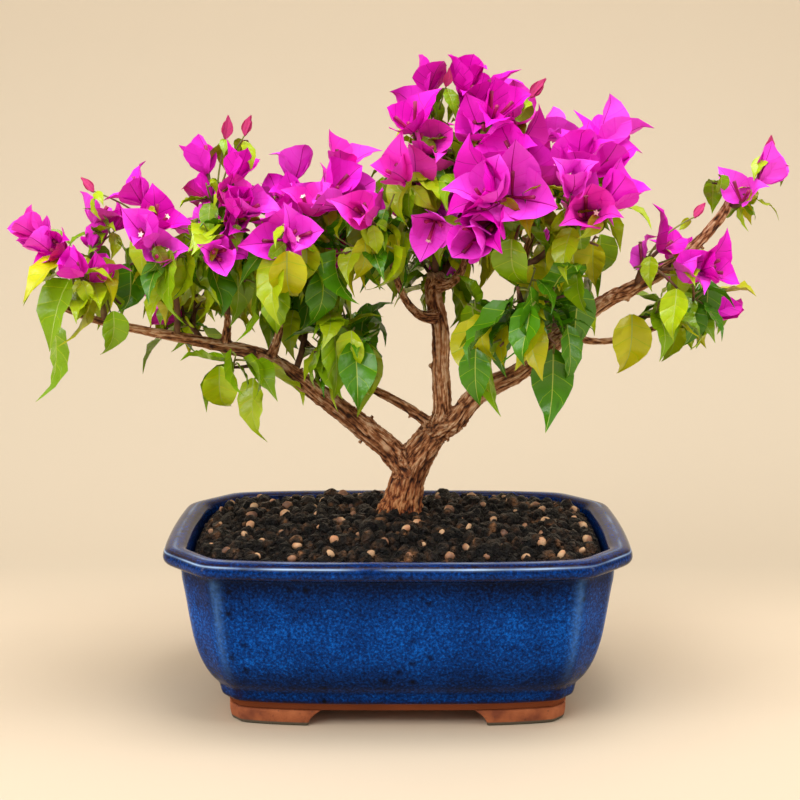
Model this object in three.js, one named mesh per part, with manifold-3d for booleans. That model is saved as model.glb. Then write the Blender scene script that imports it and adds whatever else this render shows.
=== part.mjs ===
// Bougainvillea bonsai in a blue glazed stoneware pot, in millimetres, +Z up.
// The origin is on the table under the middle of the pot, and the show side faces -Y.

import * as THREE from "three";
import Module from "manifold-3d";

const wasm = await Module();
wasm.setup();

// Driving dimensions
const CLEAR = 0.3; // gap between neighbouring pieces
const POT_HEIGHT = 97;
const FOOT_HEIGHT = 9;
const RIM = {
  halfWidth: 127, // middle of the bowed ends
  halfDepth: 95, // middle of the bowed long sides
  endCrease: new THREE.Vector2(125, 58), // an end meets the corner facet
  sideCrease: new THREE.Vector2(101, 88.5), // the facet meets a long side
  sideCurve: 3.5, // the long sides are straight in the middle and fall away near the crease
};
const SOIL = { edge: 93, top: 102, seat: 0.2 }; // heights, and the flat share under the trunk
const TRUNK_PLACE = new THREE.Vector2(3, 14);
const CROWN = { halfSpan: 216, halfDepth: 93, top: 359, bottom: 132 };
const LEAF = {
  step: 12, // along the shoot
  turn: 2.4, // from one leaf to the next, round the shoot
  hang: 0.7,
  length: [28, 40],
  width: 0.54, // of the length
  form: { stalk: 6, thick: 1.2, outline: [0.34, 1, 0.68, 0.76] },
};
const BRACT = {
  heads: [0, 13], // back from the shoot's tip
  open: [38, 62], // degrees from the head's axis
  width: 0.8,
  form: { stalk: 0, thick: 1.2, outline: [0.38, 0.9, 0.68, 0.9] },
}; // outline: how far along the blade and how wide, at its two shoulders
const TIP_DROP = 0.1;
const SKY = [
  new THREE.Box3(new THREE.Vector3(-6, -60, 140), new THREE.Vector3(17, 60, 203)),
  new THREE.Box3(new THREE.Vector3(-62, -60, 120), new THREE.Vector3(-30, 60, 156)),
  new THREE.Box3(new THREE.Vector3(96, -60, 120), new THREE.Vector3(216, 60, 174)),
]; // the gaps under and between the boughs, kept free of leaves
const SEED = 20;

const vec = (x, y, z) => new THREE.Vector3(x, y, z);
const UP = vec(0, 0, 1);

// A seeded run of numbers from 0 to 1
function dice(seed) {
  let state = seed >>> 0;
  return () => {
    state = (state + 0x6d2b79f5) >>> 0;
    let mixed = Math.imul(state ^ (state >>> 15), 1 | state);
    mixed = (mixed + Math.imul(mixed ^ (mixed >>> 7), 61 | mixed)) ^ mixed;
    return ((mixed ^ (mixed >>> 14)) >>> 0) / 4294967296;
  };
}

function solid(points, faces) {
  return new wasm.Manifold(
    new wasm.Mesh({
      numProp: 3,
      vertProperties: new Float32Array(points.flatMap((p) => [p.x, p.y, p.z])),
      triVerts: new Uint32Array(faces.flat()),
    }),
  );
}

// The faces between rings of equal count
function skin(rings) {
  const count = rings[0].length;
  const faces = [];
  for (let i = 0; i < rings.length - 1; i++)
    for (let j = 0; j < count; j++) {
      const next = (j + 1) % count;
      const low = i * count;
      const high = low + count;
      faces.push([low + j, low + next, high + next], [low + j, high + next, high + j]);
    }
  return faces;
}

// A skin closed by a flat cap at each end
function loft(rings) {
  const count = rings[0].length;
  const points = rings.flat();
  const faces = skin(rings);
  const cap = (start, turned) => {
    const ring = Array.from({ length: count }, (_, j) => start + j);
    if (turned) ring.reverse();
    if (count === 3) {
      faces.push(ring);
      return;
    }
    const middle = ring.reduce((sum, k) => sum.add(points[k]), vec(0, 0, 0));
    points.push(middle.divideScalar(count));
    ring.forEach((k, j) => faces.push([points.length - 1, k, ring[(j + 1) % count]]));
  };
  cap(0, true);
  cap((rings.length - 1) * count, false);
  return solid(points, faces);
}

// Pot: a rectangular press-moulded bowl with faceted corners, a rolled lip and a belly
function potOutline(inset) {
  const facet = Math.atan2(
    RIM.sideCrease.y - RIM.endCrease.y,
    RIM.endCrease.x - RIM.sideCrease.x,
  );
  const endY = RIM.endCrease.y - inset * Math.tan((Math.PI / 2 - facet) / 2);
  const endX = RIM.endCrease.x - inset;
  const sideX = RIM.sideCrease.x - inset * Math.tan(facet / 2);
  const sideY = RIM.sideCrease.y - inset;
  const endBow = RIM.halfWidth - RIM.endCrease.x;
  const sideBow = RIM.halfDepth - RIM.sideCrease.y;
  const corner = [];
  for (const t of [0.5, 1]) corner.push([endX + endBow * (1 - t * t), endY * t]);
  for (const t of [1, 0.8, 0.5])
    corner.push([sideX * t, sideY + sideBow * (1 - t ** RIM.sideCurve)]);
  const back = [...corner].reverse();
  return [
    [endX + endBow, 0],
    ...corner,
    [0, sideY + sideBow],
    ...back.map(([x, y]) => [-x, y]),
    [-endX - endBow, 0],
    ...corner.map(([x, y]) => [-x, -y]),
    [0, -sideY - sideBow],
    ...back.map(([x, y]) => [x, -y]),
  ].map(([x, y]) => new THREE.Vector2(x, y));
}
const potRing = ([inset, z]) => potOutline(inset).map((p) => vec(p.x, p.y, z));

const POT_OUTSIDE = [
  [34.5, FOOT_HEIGHT],
  [32.5, 12.5],
  [29.6, 14.5],
  [28.4, 18.5],
  [27.8, 20.5],
  [23.5, 25.5],
  [19, 33.5],
  [15.3, 45],
  [13, 57.5],
  [11.3, 69],
  [9.6, 79],
  [8.2, 86.5],
  [1.6, 89],
  [0, 91.5],
  [0.8, 95.4],
  [3.5, POT_HEIGHT],
]; // inset from the rim outline, and height
const POT_INSIDE = [
  [10.5, POT_HEIGHT],
  [13, 95],
  [14.5, 86],
  [18.5, 57],
  [25, 35],
  [36, 21],
];
const pot = loft([...POT_OUTSIDE, ...POT_INSIDE].map(potRing));

// Feet: four unglazed brackets that follow the corners, their ends cut back in a curve
const FOOT = {
  inset: 33.5,
  wall: 17,
  endX: [48, 47, 42],
  endY: [24, 23, 18],
  level: [0, 4, FOOT_HEIGHT - CLEAR],
};
function foot(sx, sy) {
  const creases = (inset) => potOutline(inset).slice(2, 4);
  const [outEnd, outSide] = creases(FOOT.inset);
  const [inEnd, inSide] = creases(FOOT.inset + FOOT.wall);
  const rings = FOOT.level.map((z, i) => {
    const corner = [
      [inEnd.x, FOOT.endY[i]],
      [outEnd.x, FOOT.endY[i]],
      [outEnd.x, outEnd.y],
      [outSide.x, outSide.y],
      [FOOT.endX[i], outSide.y],
      [FOOT.endX[i], inSide.y],
      [inEnd.x, inSide.y],
    ].map(([x, y]) => vec(sx * x, sy * y, z));
    return sx * sy > 0 ? corner : corner.reverse();
  });
  return bentLoft(rings);
}

// A bracket's ends aren't star-shaped, so its caps are cut into triangles by their outline
function bentLoft(rings) {
  const count = rings[0].length;
  const cap = THREE.ShapeUtils.triangulateShape(
    rings[0].map((p) => new THREE.Vector2(p.x, p.y)),
    [],
  );
  const end = (rings.length - 1) * count;
  const under = cap.map(([a, b, c]) => [a, c, b]);
  const over = cap.map(([a, b, c]) => [end + a, end + b, end + c]);
  return solid(rings.flat(), [...under, ...over, ...skin(rings)]);
}

// Soil: fills the pot, mounds up to a flat seat under the trunk and lies in clods on the way
const CLODS = {
  pitch: 21,
  stray: 9,
  radius: [9, 13],
  rise: [2, 4.6],
  fade: 0.1, // share of the way over which they flatten out towards the brim
  rows: [0.92, 0.83, 0.74, 0.65, 0.56, 0.47, 0.38], // shares of the way from the trunk to the brim
};
function spreadClods() {
  const roll = dice(SEED);
  const between = ([low, high]) => THREE.MathUtils.lerp(low, high, roll());
  const spread = [];
  for (let x = -RIM.halfWidth; x < RIM.halfWidth; x += CLODS.pitch)
    for (let y = -RIM.halfDepth; y < RIM.halfDepth; y += CLODS.pitch) {
      const place = new THREE.Vector2(x + CLODS.stray * roll(), y + CLODS.stray * roll());
      spread.push({ place, radius: between(CLODS.radius), rise: between(CLODS.rise) });
    }
  return spread;
}
const clods = spreadClods();
const heaped = (p) =>
  Math.max(0, ...clods.map((c) => c.rise * (1 - c.place.distanceToSquared(p) / c.radius ** 2)));

// A row of the mound at a share of the way to the brim
function soilRow(brim, share) {
  const rise = (1 - share ** 2) / (1 - SOIL.seat ** 2);
  const height = SOIL.edge + (SOIL.top - SOIL.edge) * rise;
  const middle = vec(TRUNK_PLACE.x, TRUNK_PLACE.y, height);
  return brim.map((p) => p.clone().setZ(height).lerp(middle, 1 - share));
}

function soilMound() {
  const fill = [...POT_INSIDE].reverse().slice(0, 5);
  const rings = fill.map(([inset, z], i) => {
    const height = i === 0 ? z + CLEAR : Math.min(z, SOIL.edge);
    const ring = potRing([inset + CLEAR * 1.5, height]);
    return ring.flatMap((p, j) => [p, p.clone().lerp(ring[(j + 1) % ring.length], 0.5)]);
  });
  const brim = rings.at(-1);
  for (const share of CLODS.rows) {
    const full = Math.min(1, (1 - share) / CLODS.fade);
    rings.push(soilRow(brim, share).map((p) => p.add(vec(0, 0, heaped(p) * full))));
  }
  rings.push(soilRow(brim, SOIL.seat));
  return loft(rings);
}

// Limbs: each row is a centre point and the radius there
function limb(rows) {
  const curve = new THREE.CatmullRomCurve3(
    rows.map(([x, y, z]) => vec(x, y, z)),
    false,
    "centripetal",
  );
  const radius = (t) => {
    const place = t * (rows.length - 1);
    const i = Math.min(Math.floor(place), rows.length - 2);
    return THREE.MathUtils.lerp(rows[i][3], rows[i + 1][3], place - i);
  };
  return { curve, radius, steps: 2 * (rows.length - 1) };
}

// The part of a limb from t0 to t1, with a flat cut across each end
function tube({ curve, radius, steps }, sides, t0 = 0, t1 = 1) {
  const chord = curve.getPoint(t1).sub(curve.getPoint(t0)).normalize();
  const across = Math.abs(chord.y) < 0.8 ? vec(0, 1, 0) : vec(1, 0, 0);
  const rings = [];
  const count = Math.max(2, Math.round(steps * (t1 - t0)));
  for (let i = 0; i <= count; i++) {
    const t = THREE.MathUtils.lerp(t0, t1, i / count);
    const centre = curve.getPoint(t);
    const along = curve.getTangent(t);
    const right = across.clone().addScaledVector(along, -across.dot(along)).normalize();
    const over = along.clone().cross(right);
    const ring = [];
    for (let j = 0; j < sides; j++) {
      const turn = (2 * Math.PI * j) / sides;
      ring.push(
        centre
          .clone()
          .addScaledVector(right, radius(t) * Math.cos(turn))
          .addScaledVector(over, radius(t) * Math.sin(turn)),
      );
    }
    rings.push(ring);
  }
  return loft(rings);
}

const GROUND = SOIL.top + CLEAR;
const trunkAxis = limb([
  [TRUNK_PLACE.x - 2, TRUNK_PLACE.y, GROUND - 5, 14.5],
  [2.5, 14, 106, 11.4],
  [4, 13.5, 113, 10.2],
  [6, 13, 121, 9.8],
  [9, 12, 131, 10],
  [15, 11, 140, 9],
  [22, 10, 149, 8],
  [29, 8.5, 154, 5],
]);
const LIMBS = {
  left: limb([
    [5, 12, 127, 7.5],
    [-5, 12, 138, 7],
    [-22, 10, 153, 6.2],
    [-40, 8, 167, 5.5],
    [-58, 6, 181, 5],
    [-75, 3, 192, 4.3],
    [-96, 0, 198, 3.6],
    [-117, -4, 203, 3.1],
    [-140, -8, 208, 2.5],
    [-165, -11, 214, 2.2],
    [-193, -14, 226, 1.8],
  ]),
  innerLeft: limb([
    [19, 11, 152, 3.4],
    [4, 15, 162, 2.8],
    [-14, 20, 171, 2.5],
    [-27, 24, 176, 2.3],
    [-40, 28, 185, 2.1],
    [-53, 32, 196, 1.8],
  ]),
  upright: limb([
    [21, 10, 148, 6],
    [25, 10, 159, 5.4],
    [24, 12, 183, 5],
    [24, 13, 206, 4.9],
    [20, 12, 226, 4.9],
    [21, 12, 233, 5.6],
    [21, 12, 238, 4.6],
  ]),
  right: limb([
    [21, 10, 148, 7],
    [32, 8, 155, 6.4],
    [44, 4, 170, 5.6],
    [71, 0, 186, 5.2],
    [85, -3, 200, 5.6],
    [96, -5, 209, 4.6],
    [114, -6, 224, 4.2],
    [127, -6, 230, 4],
    [151, -4, 244, 3.5],
    [174, -1, 266, 2.9],
    [183, 0, 280, 2.6],
  ]),
};
const CUTS = { left: 0.18, innerLeft: 0.2, upright: 0.27, right: 0.17 }; // where the trunk's stubs end

// A start just outside a limb's bark, for a branch of the given radius that leaves it towards a point
function seat(parent, t, goal, radius, slack = CLEAR) {
  const centre = parent.curve.getPoint(t);
  const along = parent.curve.getTangent(t);
  if (t === 1)
    return { start: centre.addScaledVector(along, CLEAR), leave: along };
  const leave = goal.clone().sub(centre);
  leave.addScaledVector(along, -0.75 * leave.dot(along)).normalize();
  const cos = Math.abs(leave.dot(along));
  const sin = Math.sqrt(1 - cos * cos);
  const reach = (parent.radius(t) + slack + radius * cos) / sin;
  return { start: centre.addScaledVector(leave, reach), leave };
}

// Side branches: the limb they leave, how far along it, their end and their two radii
const SIDE_BRANCHES = {
  leftStub: ["left", 0.6, vec(-94, -2, 219), 2.2, 1.7],
  leftRiser: ["left", 0.48, vec(-66, -4, 226), 2.4, 1.7],
  uprightLeft: ["upright", 0.55, vec(-1, -4, 237), 2.8, 1.9],
  uprightRight: ["upright", 0.76, vec(38, 2, 250), 2.7, 1.9],
  riser: ["right", 0.37, vec(73, -26, 265), 2.7, 2],
  lower: ["right", 0.47, vec(150, 20, 208), 2.1, 1.6],
};
for (const [name, [parent, t, end, wide, narrow]] of Object.entries(SIDE_BRANCHES)) {
  const { start, leave } = seat(LIMBS[parent], t, end, wide);
  const bend = start.clone().addScaledVector(leave, 0.5 * start.distanceTo(end));
  LIMBS[name] = {
    curve: new THREE.QuadraticBezierCurve3(start, bend, end),
    radius: (u) => THREE.MathUtils.lerp(wide, narrow, u),
    steps: 6,
  };
}

const stubs = Object.entries(CUTS).map(([name, cut]) => tube(LIMBS[name], 8, 0, cut));
const wood = {
  trunk: wasm.Manifold.union([tube(trunkAxis, 10), ...stubs]).trimByPlane([0, 0, 1], GROUND),
};
const nodeName = (name) => name.replace(/[A-Z]/g, (c) => "_" + c.toLowerCase());
for (const [name, cut] of Object.entries(CUTS)) {
  const gap = CLEAR / LIMBS[name].curve.getLength();
  wood["bough_" + nodeName(name)] = tube(LIMBS[name], name === "innerLeft" ? 6 : 8, cut + gap);
}
for (const name of Object.keys(SIDE_BRANCHES))
  wood["branch_" + nodeName(name)] = tube(LIMBS[name], 6);

// Foliage: each mass has one stem on a limb, and shoots that end in blossom or in leaves.
// Its first shoot is the leader that carries the others.
const MASSES = [
  { name: "left_tip", limb: "left", at: 0.88, bract: 27,
    blossom: [[-190, -22, 247], [-164, -36, 235], [-166, -4, 266]],
    leafy: [[-192, -14, 215], [-150, -16, 223], [-174, -26, 234]] },
  { name: "left_outer", limb: "left", at: 0.72, bract: 29,
    blossom: [[-137, -20, 278], [-129, -40, 258]],
    leafy: [[-114, -36, 254], [-146, -8, 244], [-118, 2, 252]] },
  { name: "left_high", limb: "leftStub", at: 1, bract: 29,
    blossom: [[-104, 4, 294], [-88, -14, 290], [-82, -34, 274], [-96, -48, 252]],
    leafy: [[-106, -22, 250], [-82, -24, 236]] },
  { name: "left_back", limb: "left", at: 0.66, bract: 29,
    blossom: [[-132, 34, 216], [-108, 54, 268]],
    leafy: [[-92, 42, 252], [-130, 62, 246]] },
  { name: "left_low", limb: "left", at: 0.53, bract: 28, blossom: [],
    leafy: [[-76, -8, 184], [-98, -22, 190]] },
  { name: "centre_left", limb: "leftRiser", at: 1, bract: 30,
    blossom: [[-56, 0, 284], [-46, -30, 268], [-56, -50, 258]],
    leafy: [[-58, -50, 250], [-62, -36, 238], [-74, -22, 262], [-42, -26, 240]] },
  { name: "centre_high", limb: "innerLeft", at: 1, bract: 30,
    blossom: [[-30, 8, 296], [-36, -12, 284], [-40, 24, 246]],
    leafy: [[-22, 18, 268], [-48, 34, 254]] },
  { name: "centre_front", limb: "uprightLeft", at: 1, bract: 31,
    blossom: [[-14, -48, 270]],
    leafy: [[-28, -36, 252], [-8, -36, 256]] },
  { name: "centre_low", limb: "innerLeft", at: 0.6, bract: 28, blossom: [],
    leafy: [[-24, -18, 208], [-40, -20, 214], [-46, -8, 196], [-18, 2, 196], [-30, 48, 206]] },
  { name: "top_left", limb: "upright", at: 1, bract: 32,
    blossom: [[16, 0, 338], [8, -22, 316], [4, -34, 290], [20, -26, 268]],
    leafy: [[-4, 12, 292], [12, 24, 300]] },
  { name: "top", limb: "uprightRight", at: 1, bract: 33,
    blossom: [[36, -2, 338], [50, -22, 322], [64, 6, 320], [80, 12, 312]],
    leafy: [[54, 6, 292], [36, -28, 280]] },
  { name: "right_front", limb: "riser", at: 1, bract: 35,
    blossom: [[62, -34, 298], [50, -58, 284], [42, -60, 264]],
    leafy: [[60, -52, 258], [58, -28, 272]] },
  { name: "right_high", limb: "riser", at: 0.72, bract: 35,
    blossom: [[92, -50, 286], [104, -64, 268], [108, -16, 300]],
    leafy: [[106, -34, 256], [120, -16, 274], [88, -28, 262]] },
  { name: "right_low", limb: "riser", at: 0.25, bract: 30, blossom: [],
    leafy: [[62, -56, 236], [54, -46, 204], [84, -38, 204], [40, -32, 216], [98, -36, 232]] },
  { name: "right_bough", limb: "lower", at: 1, bract: 27,
    blossom: [[178, 26, 212], [156, 14, 238]],
    leafy: [[128, 2, 214], [162, -2, 232], [168, 42, 226]] },
  { name: "right_outer", limb: "right", at: 0.72, bract: 30,
    blossom: [[140, -18, 252], [163, -26, 242]],
    leafy: [[126, -30, 244], [150, -30, 232]] },
  { name: "right_tip", limb: "right", at: 0.97, bract: 28,
    blossom: [[196, -6, 288]],
    leafy: [[194, 8, 280], [172, 4, 288]] },
  { name: "centre_back", limb: "upright", at: 0.62, bract: 30,
    blossom: [[24, 50, 240], [8, 60, 280]],
    leafy: [[-4, 54, 262], [38, 60, 262]] },
  { name: "right_back", limb: "right", at: 0.42, bract: 31,
    blossom: [[96, 42, 230], [80, 42, 258], [104, 60, 282]],
    leafy: [[114, 48, 256], [84, 66, 252]] },
  { name: "back_high", limb: "upright", at: 0.8, bract: 32,
    blossom: [[46, 46, 298], [64, 58, 276], [20, 40, 304]],
    leafy: [[36, 62, 290], [56, 34, 276]] },
  { name: "back_left", limb: "left", at: 0.4, bract: 30,
    blossom: [[-62, 52, 270], [-36, 60, 262]],
    leafy: [[-50, 62, 248], [-78, 54, 244]] },
];
const STEM_RADIUS = 2.4;
const SHOOT_RADIUS = 1.2;
const TIP_SHARE = 0.55; // a twig's radius at its tip, as a share of its start

function twig(start, leave, end, wide) {
  const bend = start.clone().addScaledVector(leave, 0.45 * start.distanceTo(end));
  return {
    curve: new THREE.QuadraticBezierCurve3(start, bend, end),
    radius: (t) => wide * THREE.MathUtils.lerp(1, TIP_SHARE, t),
    steps: 3,
  };
}

// The leader and the shoots that leave it one after another
function shootsOf(mass, slack) {
  const ends = [
    ...mass.blossom.map((p) => ({ end: vec(...p), blooms: true })),
    ...mass.leafy.map((p) => ({ end: vec(...p), blooms: false })),
  ];
  const { start, leave } = seat(LIMBS[mass.limb], mass.at, ends[0].end, STEM_RADIUS, slack);
  const leader = twig(start, leave, ends[0].end, STEM_RADIUS);
  return ends.map(({ end, blooms }, i) => {
    if (i === 0) return { ...leader, blooms, bare: 0.3 };
    const fork = 0.25 + (0.5 * i) / ends.length;
    const from = leader.curve.getPoint(fork);
    const heading = end.clone().sub(from).normalize();
    heading.addScaledVector(leader.curve.getTangent(fork), 0.25).normalize();
    return { ...twig(from, heading, end, SHOOT_RADIUS), blooms, bare: 0.2 };
  });
}

// A blade on a stalk: the stalk leaves the twig along `out`, the blade runs along `heading` with
// its flat side to `face`, and the keel under it bends down to the tip
function blade({ root, out, stalk, heading, face, length, width, thick, outline }) {
  const aside = face.clone().cross(heading);
  const [lowAt, lowWide, highAt, highWide] = outline;
  const foot = root.clone().addScaledVector(out, stalk);
  const place = (at, wide, drop) =>
    foot
      .clone()
      .addScaledVector(heading, length * at)
      .addScaledVector(aside, (wide * width) / 2)
      .addScaledVector(face, -drop);
  const points = [
    root,
    place(lowAt, -lowWide, 0),
    place(highAt, -highWide, 0),
    place(1, 0, thick + TIP_DROP * length),
    place(highAt, highWide, 0),
    place(lowAt, lowWide, 0),
    place(lowAt, 0, thick),
  ];
  const stem = [[0, 1, 5], [0, 5, 6], [0, 6, 1]];
  const keel = [[6, 5, 4], [6, 4, 3], [6, 3, 2], [6, 2, 1]];
  const flat = [[1, 2, 4], [1, 4, 5], [2, 3, 4]];
  return { points, made: solid(points, [...stem, ...keel, ...flat]) };
}

// Leaves stand alternately round a shoot and hang a little; the last hangs from its end
function leavesOf(shoot, roll) {
  const { curve } = shoot;
  const room = curve.getLength() * (1 - shoot.bare);
  const count = Math.max(2, Math.round(room / LEAF.step));
  const first = 2 * Math.PI * roll();
  const leaves = [];
  for (let i = 0; i < count; i++) {
    const [size, turn, hang] = [roll(), roll(), roll()];
    const last = i === count - 1 && !shoot.blooms;
    const t = THREE.MathUtils.lerp(shoot.bare, 0.97, i / (count - 1));
    const along = curve.getTangent(t);
    const angle = first + i * LEAF.turn + 0.6 * (turn - 0.5);
    const out = vec(Math.cos(angle), Math.sin(angle), 0.2);
    out.addScaledVector(along, 0.25 - out.dot(along)).normalize();
    const droop = last ? 0.9 : LEAF.hang * hang;
    const heading = out.clone().multiplyScalar(1 - 0.8 * droop);
    heading.addScaledVector(UP, -0.1 - droop).normalize();
    const face = UP.clone().addScaledVector(out, 0.7);
    face.addScaledVector(heading, -face.dot(heading)).normalize();
    const length = THREE.MathUtils.lerp(...LEAF.length, size);
    const width = length * LEAF.width;
    leaves.push({ root: curve.getPoint(t), out, heading, face, length, width, ...LEAF.form });
  }
  return leaves;
}

// Heads of three bracts at the end of a shoot, one at its tip and one behind it
function bractsOf(shoot, size, roll) {
  const { curve } = shoot;
  const bracts = [];
  for (const back of BRACT.heads) {
    const t = Math.max(0.3, 0.98 - back / curve.getLength());
    const [lean, spin, open] = [2 * Math.PI * roll(), 2 * Math.PI * roll(), roll()];
    const axis = curve.getTangent(t).addScaledVector(UP, 0.3);
    axis.add(vec(Math.cos(lean), Math.sin(lean), 0).multiplyScalar(back ? 1.2 : 0.35)).normalize();
    const right = vec(0, 1, 0).cross(axis).normalize();
    const over = axis.clone().cross(right);
    const tilt = THREE.MathUtils.degToRad(THREE.MathUtils.lerp(...BRACT.open, open));
    for (let i = 0; i < 3; i++) {
      const turn = spin + (2 * Math.PI * i) / 3;
      const out = right.clone().multiplyScalar(Math.cos(turn)).addScaledVector(over, Math.sin(turn));
      const heading = axis.clone().multiplyScalar(Math.cos(tilt)).addScaledVector(out, Math.sin(tilt));
      const face = axis.clone().addScaledVector(heading, -axis.dot(heading)).normalize();
      const length = size * (0.86 + 0.28 * roll());
      const width = length * BRACT.width;
      bracts.push({ root: curve.getPoint(t), out, heading, face, length, width, ...BRACT.form });
    }
  }
  return bracts;
}

const boxOf = (manifold) => {
  const { min, max } = manifold.boundingBox();
  return new THREE.Box3(vec(...min), vec(...max));
};
const inCrown = (p) =>
  Math.abs(p.x) < CROWN.halfSpan &&
  Math.abs(p.y) < CROWN.halfDepth &&
  p.z < CROWN.top &&
  p.z > CROWN.bottom &&
  !SKY.some((gap) => gap.containsPoint(p));

// What stands in the crown so far, and whether a new solid meets any of it that counts
const standing = Object.values(wood).map((made) => ({ made, box: boxOf(made), mass: "wood" }));
function meets(made, counts) {
  const box = boxOf(made);
  return standing.some(
    (other) =>
      counts(other) && other.box.intersectsBox(box) && other.made.intersect(made).volume() > 0,
  );
}

const blocked = (shoot, mass) =>
  meets(
    tube({ ...shoot, radius: (t) => shoot.radius(t) + CLEAR / 2 }, 3),
    (other) => other.mass !== mass.name,
  );

// How near a mass's stem can come to the facets of its limb
function slackOf(mass) {
  for (let slack = -2; slack < 1; slack += 0.1)
    if (!blocked(shootsOf(mass, slack)[0], mass)) return slack + CLEAR / 2;
  throw new Error("the stem of " + mass.name + " is blocked");
}

const crown = {};
const grown = MASSES.map((mass) => ({ mass, shoots: [] }));
for (const { mass, shoots } of grown) {
  crown[mass.name] = [];
  for (const shoot of shootsOf(mass, slackOf(mass))) {
    if (blocked(shoot, mass)) continue;
    const made = tube(shoot, 3);
    shoots.push(shoot);
    standing.push({ made, box: boxOf(made), mass: mass.name });
    crown[mass.name].push(made);
  }
}

// Adds the blades that find room: clear of every other piece, and of their own mass's twigs and
// blades over their outer part
const ROOM = { longer: 1.4, wider: 1.4, thicker: 1.2, outer: 0.35 };
function dress(mass, blades) {
  for (const shape of blades) {
    const { points, made } = blade(shape);
    const wide = {
      ...shape,
      length: shape.length + ROOM.longer,
      width: shape.width + ROOM.wider,
      thick: shape.thick + ROOM.thicker,
    };
    const outer = {
      ...wide,
      root: shape.root
        .clone()
        .addScaledVector(shape.out, shape.stalk)
        .addScaledVector(shape.heading, ROOM.outer * shape.length),
      stalk: 0,
      length: wide.length - ROOM.outer * shape.length,
    };
    if (!points.slice(1).every(inCrown)) continue;
    if (meets(blade(wide).made, (other) => other.mass !== mass.name)) continue;
    if (meets(blade(outer).made, (other) => other.mass === mass.name)) continue;
    crown[mass.name].push(made);
    standing.push({ made, box: boxOf(made), mass: mass.name });
  }
}
grown.forEach(({ mass, shoots }, i) => {
  const roll = dice(SEED + i);
  for (const shoot of shoots) if (shoot.blooms) dress(mass, bractsOf(shoot, mass.bract, roll));
});
grown.forEach(({ mass, shoots }, i) => {
  const roll = dice(SEED + MASSES.length + i);
  for (const shoot of shoots) dress(mass, leavesOf(shoot, roll));
});

// The largest body of a union; loose scraps are dropped
function joined(pieces) {
  const bodies = wasm.Manifold.union(pieces).decompose();
  return bodies.reduce((best, body) => (body.volume() > best.volume() ? body : best));
}

const finish = (color, roughness) =>
  new THREE.MeshStandardMaterial({ color, roughness, metalness: 0 });
const GLAZE = finish(0x0d4a9e, 0.2);
const CLAY = finish(0x9a5530, 0.85);
const EARTH = finish(0x241d19, 0.95);
const BARK = finish(0x7d5a41, 0.9);
const LEAFAGE = finish(0x5a8a2c, 0.55);
const BLOSSOM = finish(0xd838c8, 0.6);

const bonsai = new THREE.Group();
function piece(name, manifold, material) {
  const { vertProperties, triVerts } = manifold.getMesh();
  const geometry = new THREE.BufferGeometry()
    .setAttribute("position", new THREE.BufferAttribute(vertProperties, 3))
    .setIndex(new THREE.BufferAttribute(triVerts, 1));
  geometry.computeVertexNormals();
  const mesh = new THREE.Mesh(geometry, material);
  mesh.name = name;
  bonsai.add(mesh);
}

piece("pot", pot, GLAZE);
for (const [end, sx] of [["left", -1], ["right", 1]])
  for (const [side, sy] of [["front", -1], ["back", 1]])
    piece(`foot_${side}_${end}`, foot(sx, sy), CLAY);
piece("soil", soilMound(), EARTH);
for (const [name, made] of Object.entries(wood)) piece(name, made, BARK);
for (const { mass } of grown)
  piece("foliage_" + mass.name, joined(crown[mass.name]), mass.blossom.length ? BLOSSOM : LEAFAGE);

export default bonsai;
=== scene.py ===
# Bougainvillea bonsai in a blue glazed pot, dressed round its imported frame.
import itertools
import math
import random

import bpy
import numpy as np
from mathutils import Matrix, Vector, noise
from mathutils.kdtree import KDTree


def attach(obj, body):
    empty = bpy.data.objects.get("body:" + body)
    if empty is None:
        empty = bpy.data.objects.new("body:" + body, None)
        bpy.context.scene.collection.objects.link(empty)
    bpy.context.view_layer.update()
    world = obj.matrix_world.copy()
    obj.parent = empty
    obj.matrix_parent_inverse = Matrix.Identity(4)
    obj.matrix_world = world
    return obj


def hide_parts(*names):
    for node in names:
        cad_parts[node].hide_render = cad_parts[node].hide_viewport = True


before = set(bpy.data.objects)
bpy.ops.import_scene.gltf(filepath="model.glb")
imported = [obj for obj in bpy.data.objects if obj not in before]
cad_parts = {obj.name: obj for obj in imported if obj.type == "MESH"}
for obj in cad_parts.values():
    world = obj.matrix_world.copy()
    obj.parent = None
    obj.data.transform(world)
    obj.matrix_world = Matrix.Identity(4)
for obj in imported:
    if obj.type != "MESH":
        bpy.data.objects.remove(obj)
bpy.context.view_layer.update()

# Pot: pressed stoneware, oblong with faceted corners, a rolled lip and a low belly.
# It was dipped in blue glaze that breaks brown where it runs thin over the lip and the creases,
# and stops short of the bare clay round the foot. Painted light and shade make the blue lighter on
# the belly and the rim, and darker under the lip and low down.
MM = 0.001
RIM_END, RIM_SIDE = 127.0, 95.0
END_CREASE, SIDE_CREASE = (125.0, 58.0), (101.0, 88.5)
SIDE_CURVE, CORNER_ROUNDS, CREASE_ROUNDS = 3.5, 8, 4
END_STEPS, FACET_STEPS, SIDE_STEPS, PROFILE_STEPS = 26, 18, 42, 5
QUARTER = END_STEPS + FACET_STEPS + SIDE_STEPS
AROUND = 4 * (QUARTER - 1)
POT_OUTSIDE = [
    (34.5, 9), (32.5, 12.5), (29.6, 14.5), (28.4, 18.5), (27.8, 20.5), (23.5, 25.5), (19, 33.5),
    (15.3, 45), (13, 57.5), (11.3, 69), (9.6, 79), (8.2, 86.5), (1.6, 89), (0, 91.5), (0.8, 95.4),
    (3.5, 97),
]
POT_INSIDE = [(10.5, 97), (13, 95), (14.5, 86), (18.5, 57), (25, 35), (36, 21)]
LIP_EDGE, LIP_HIGHLIGHT, UNDER_LIP, FOOT_EDGE = 96.3, 95.3, 89.8, 14.6
LIP_FLAT, LIP_INNER = (6.4, 96.5), (11.4, 94.5)
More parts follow.
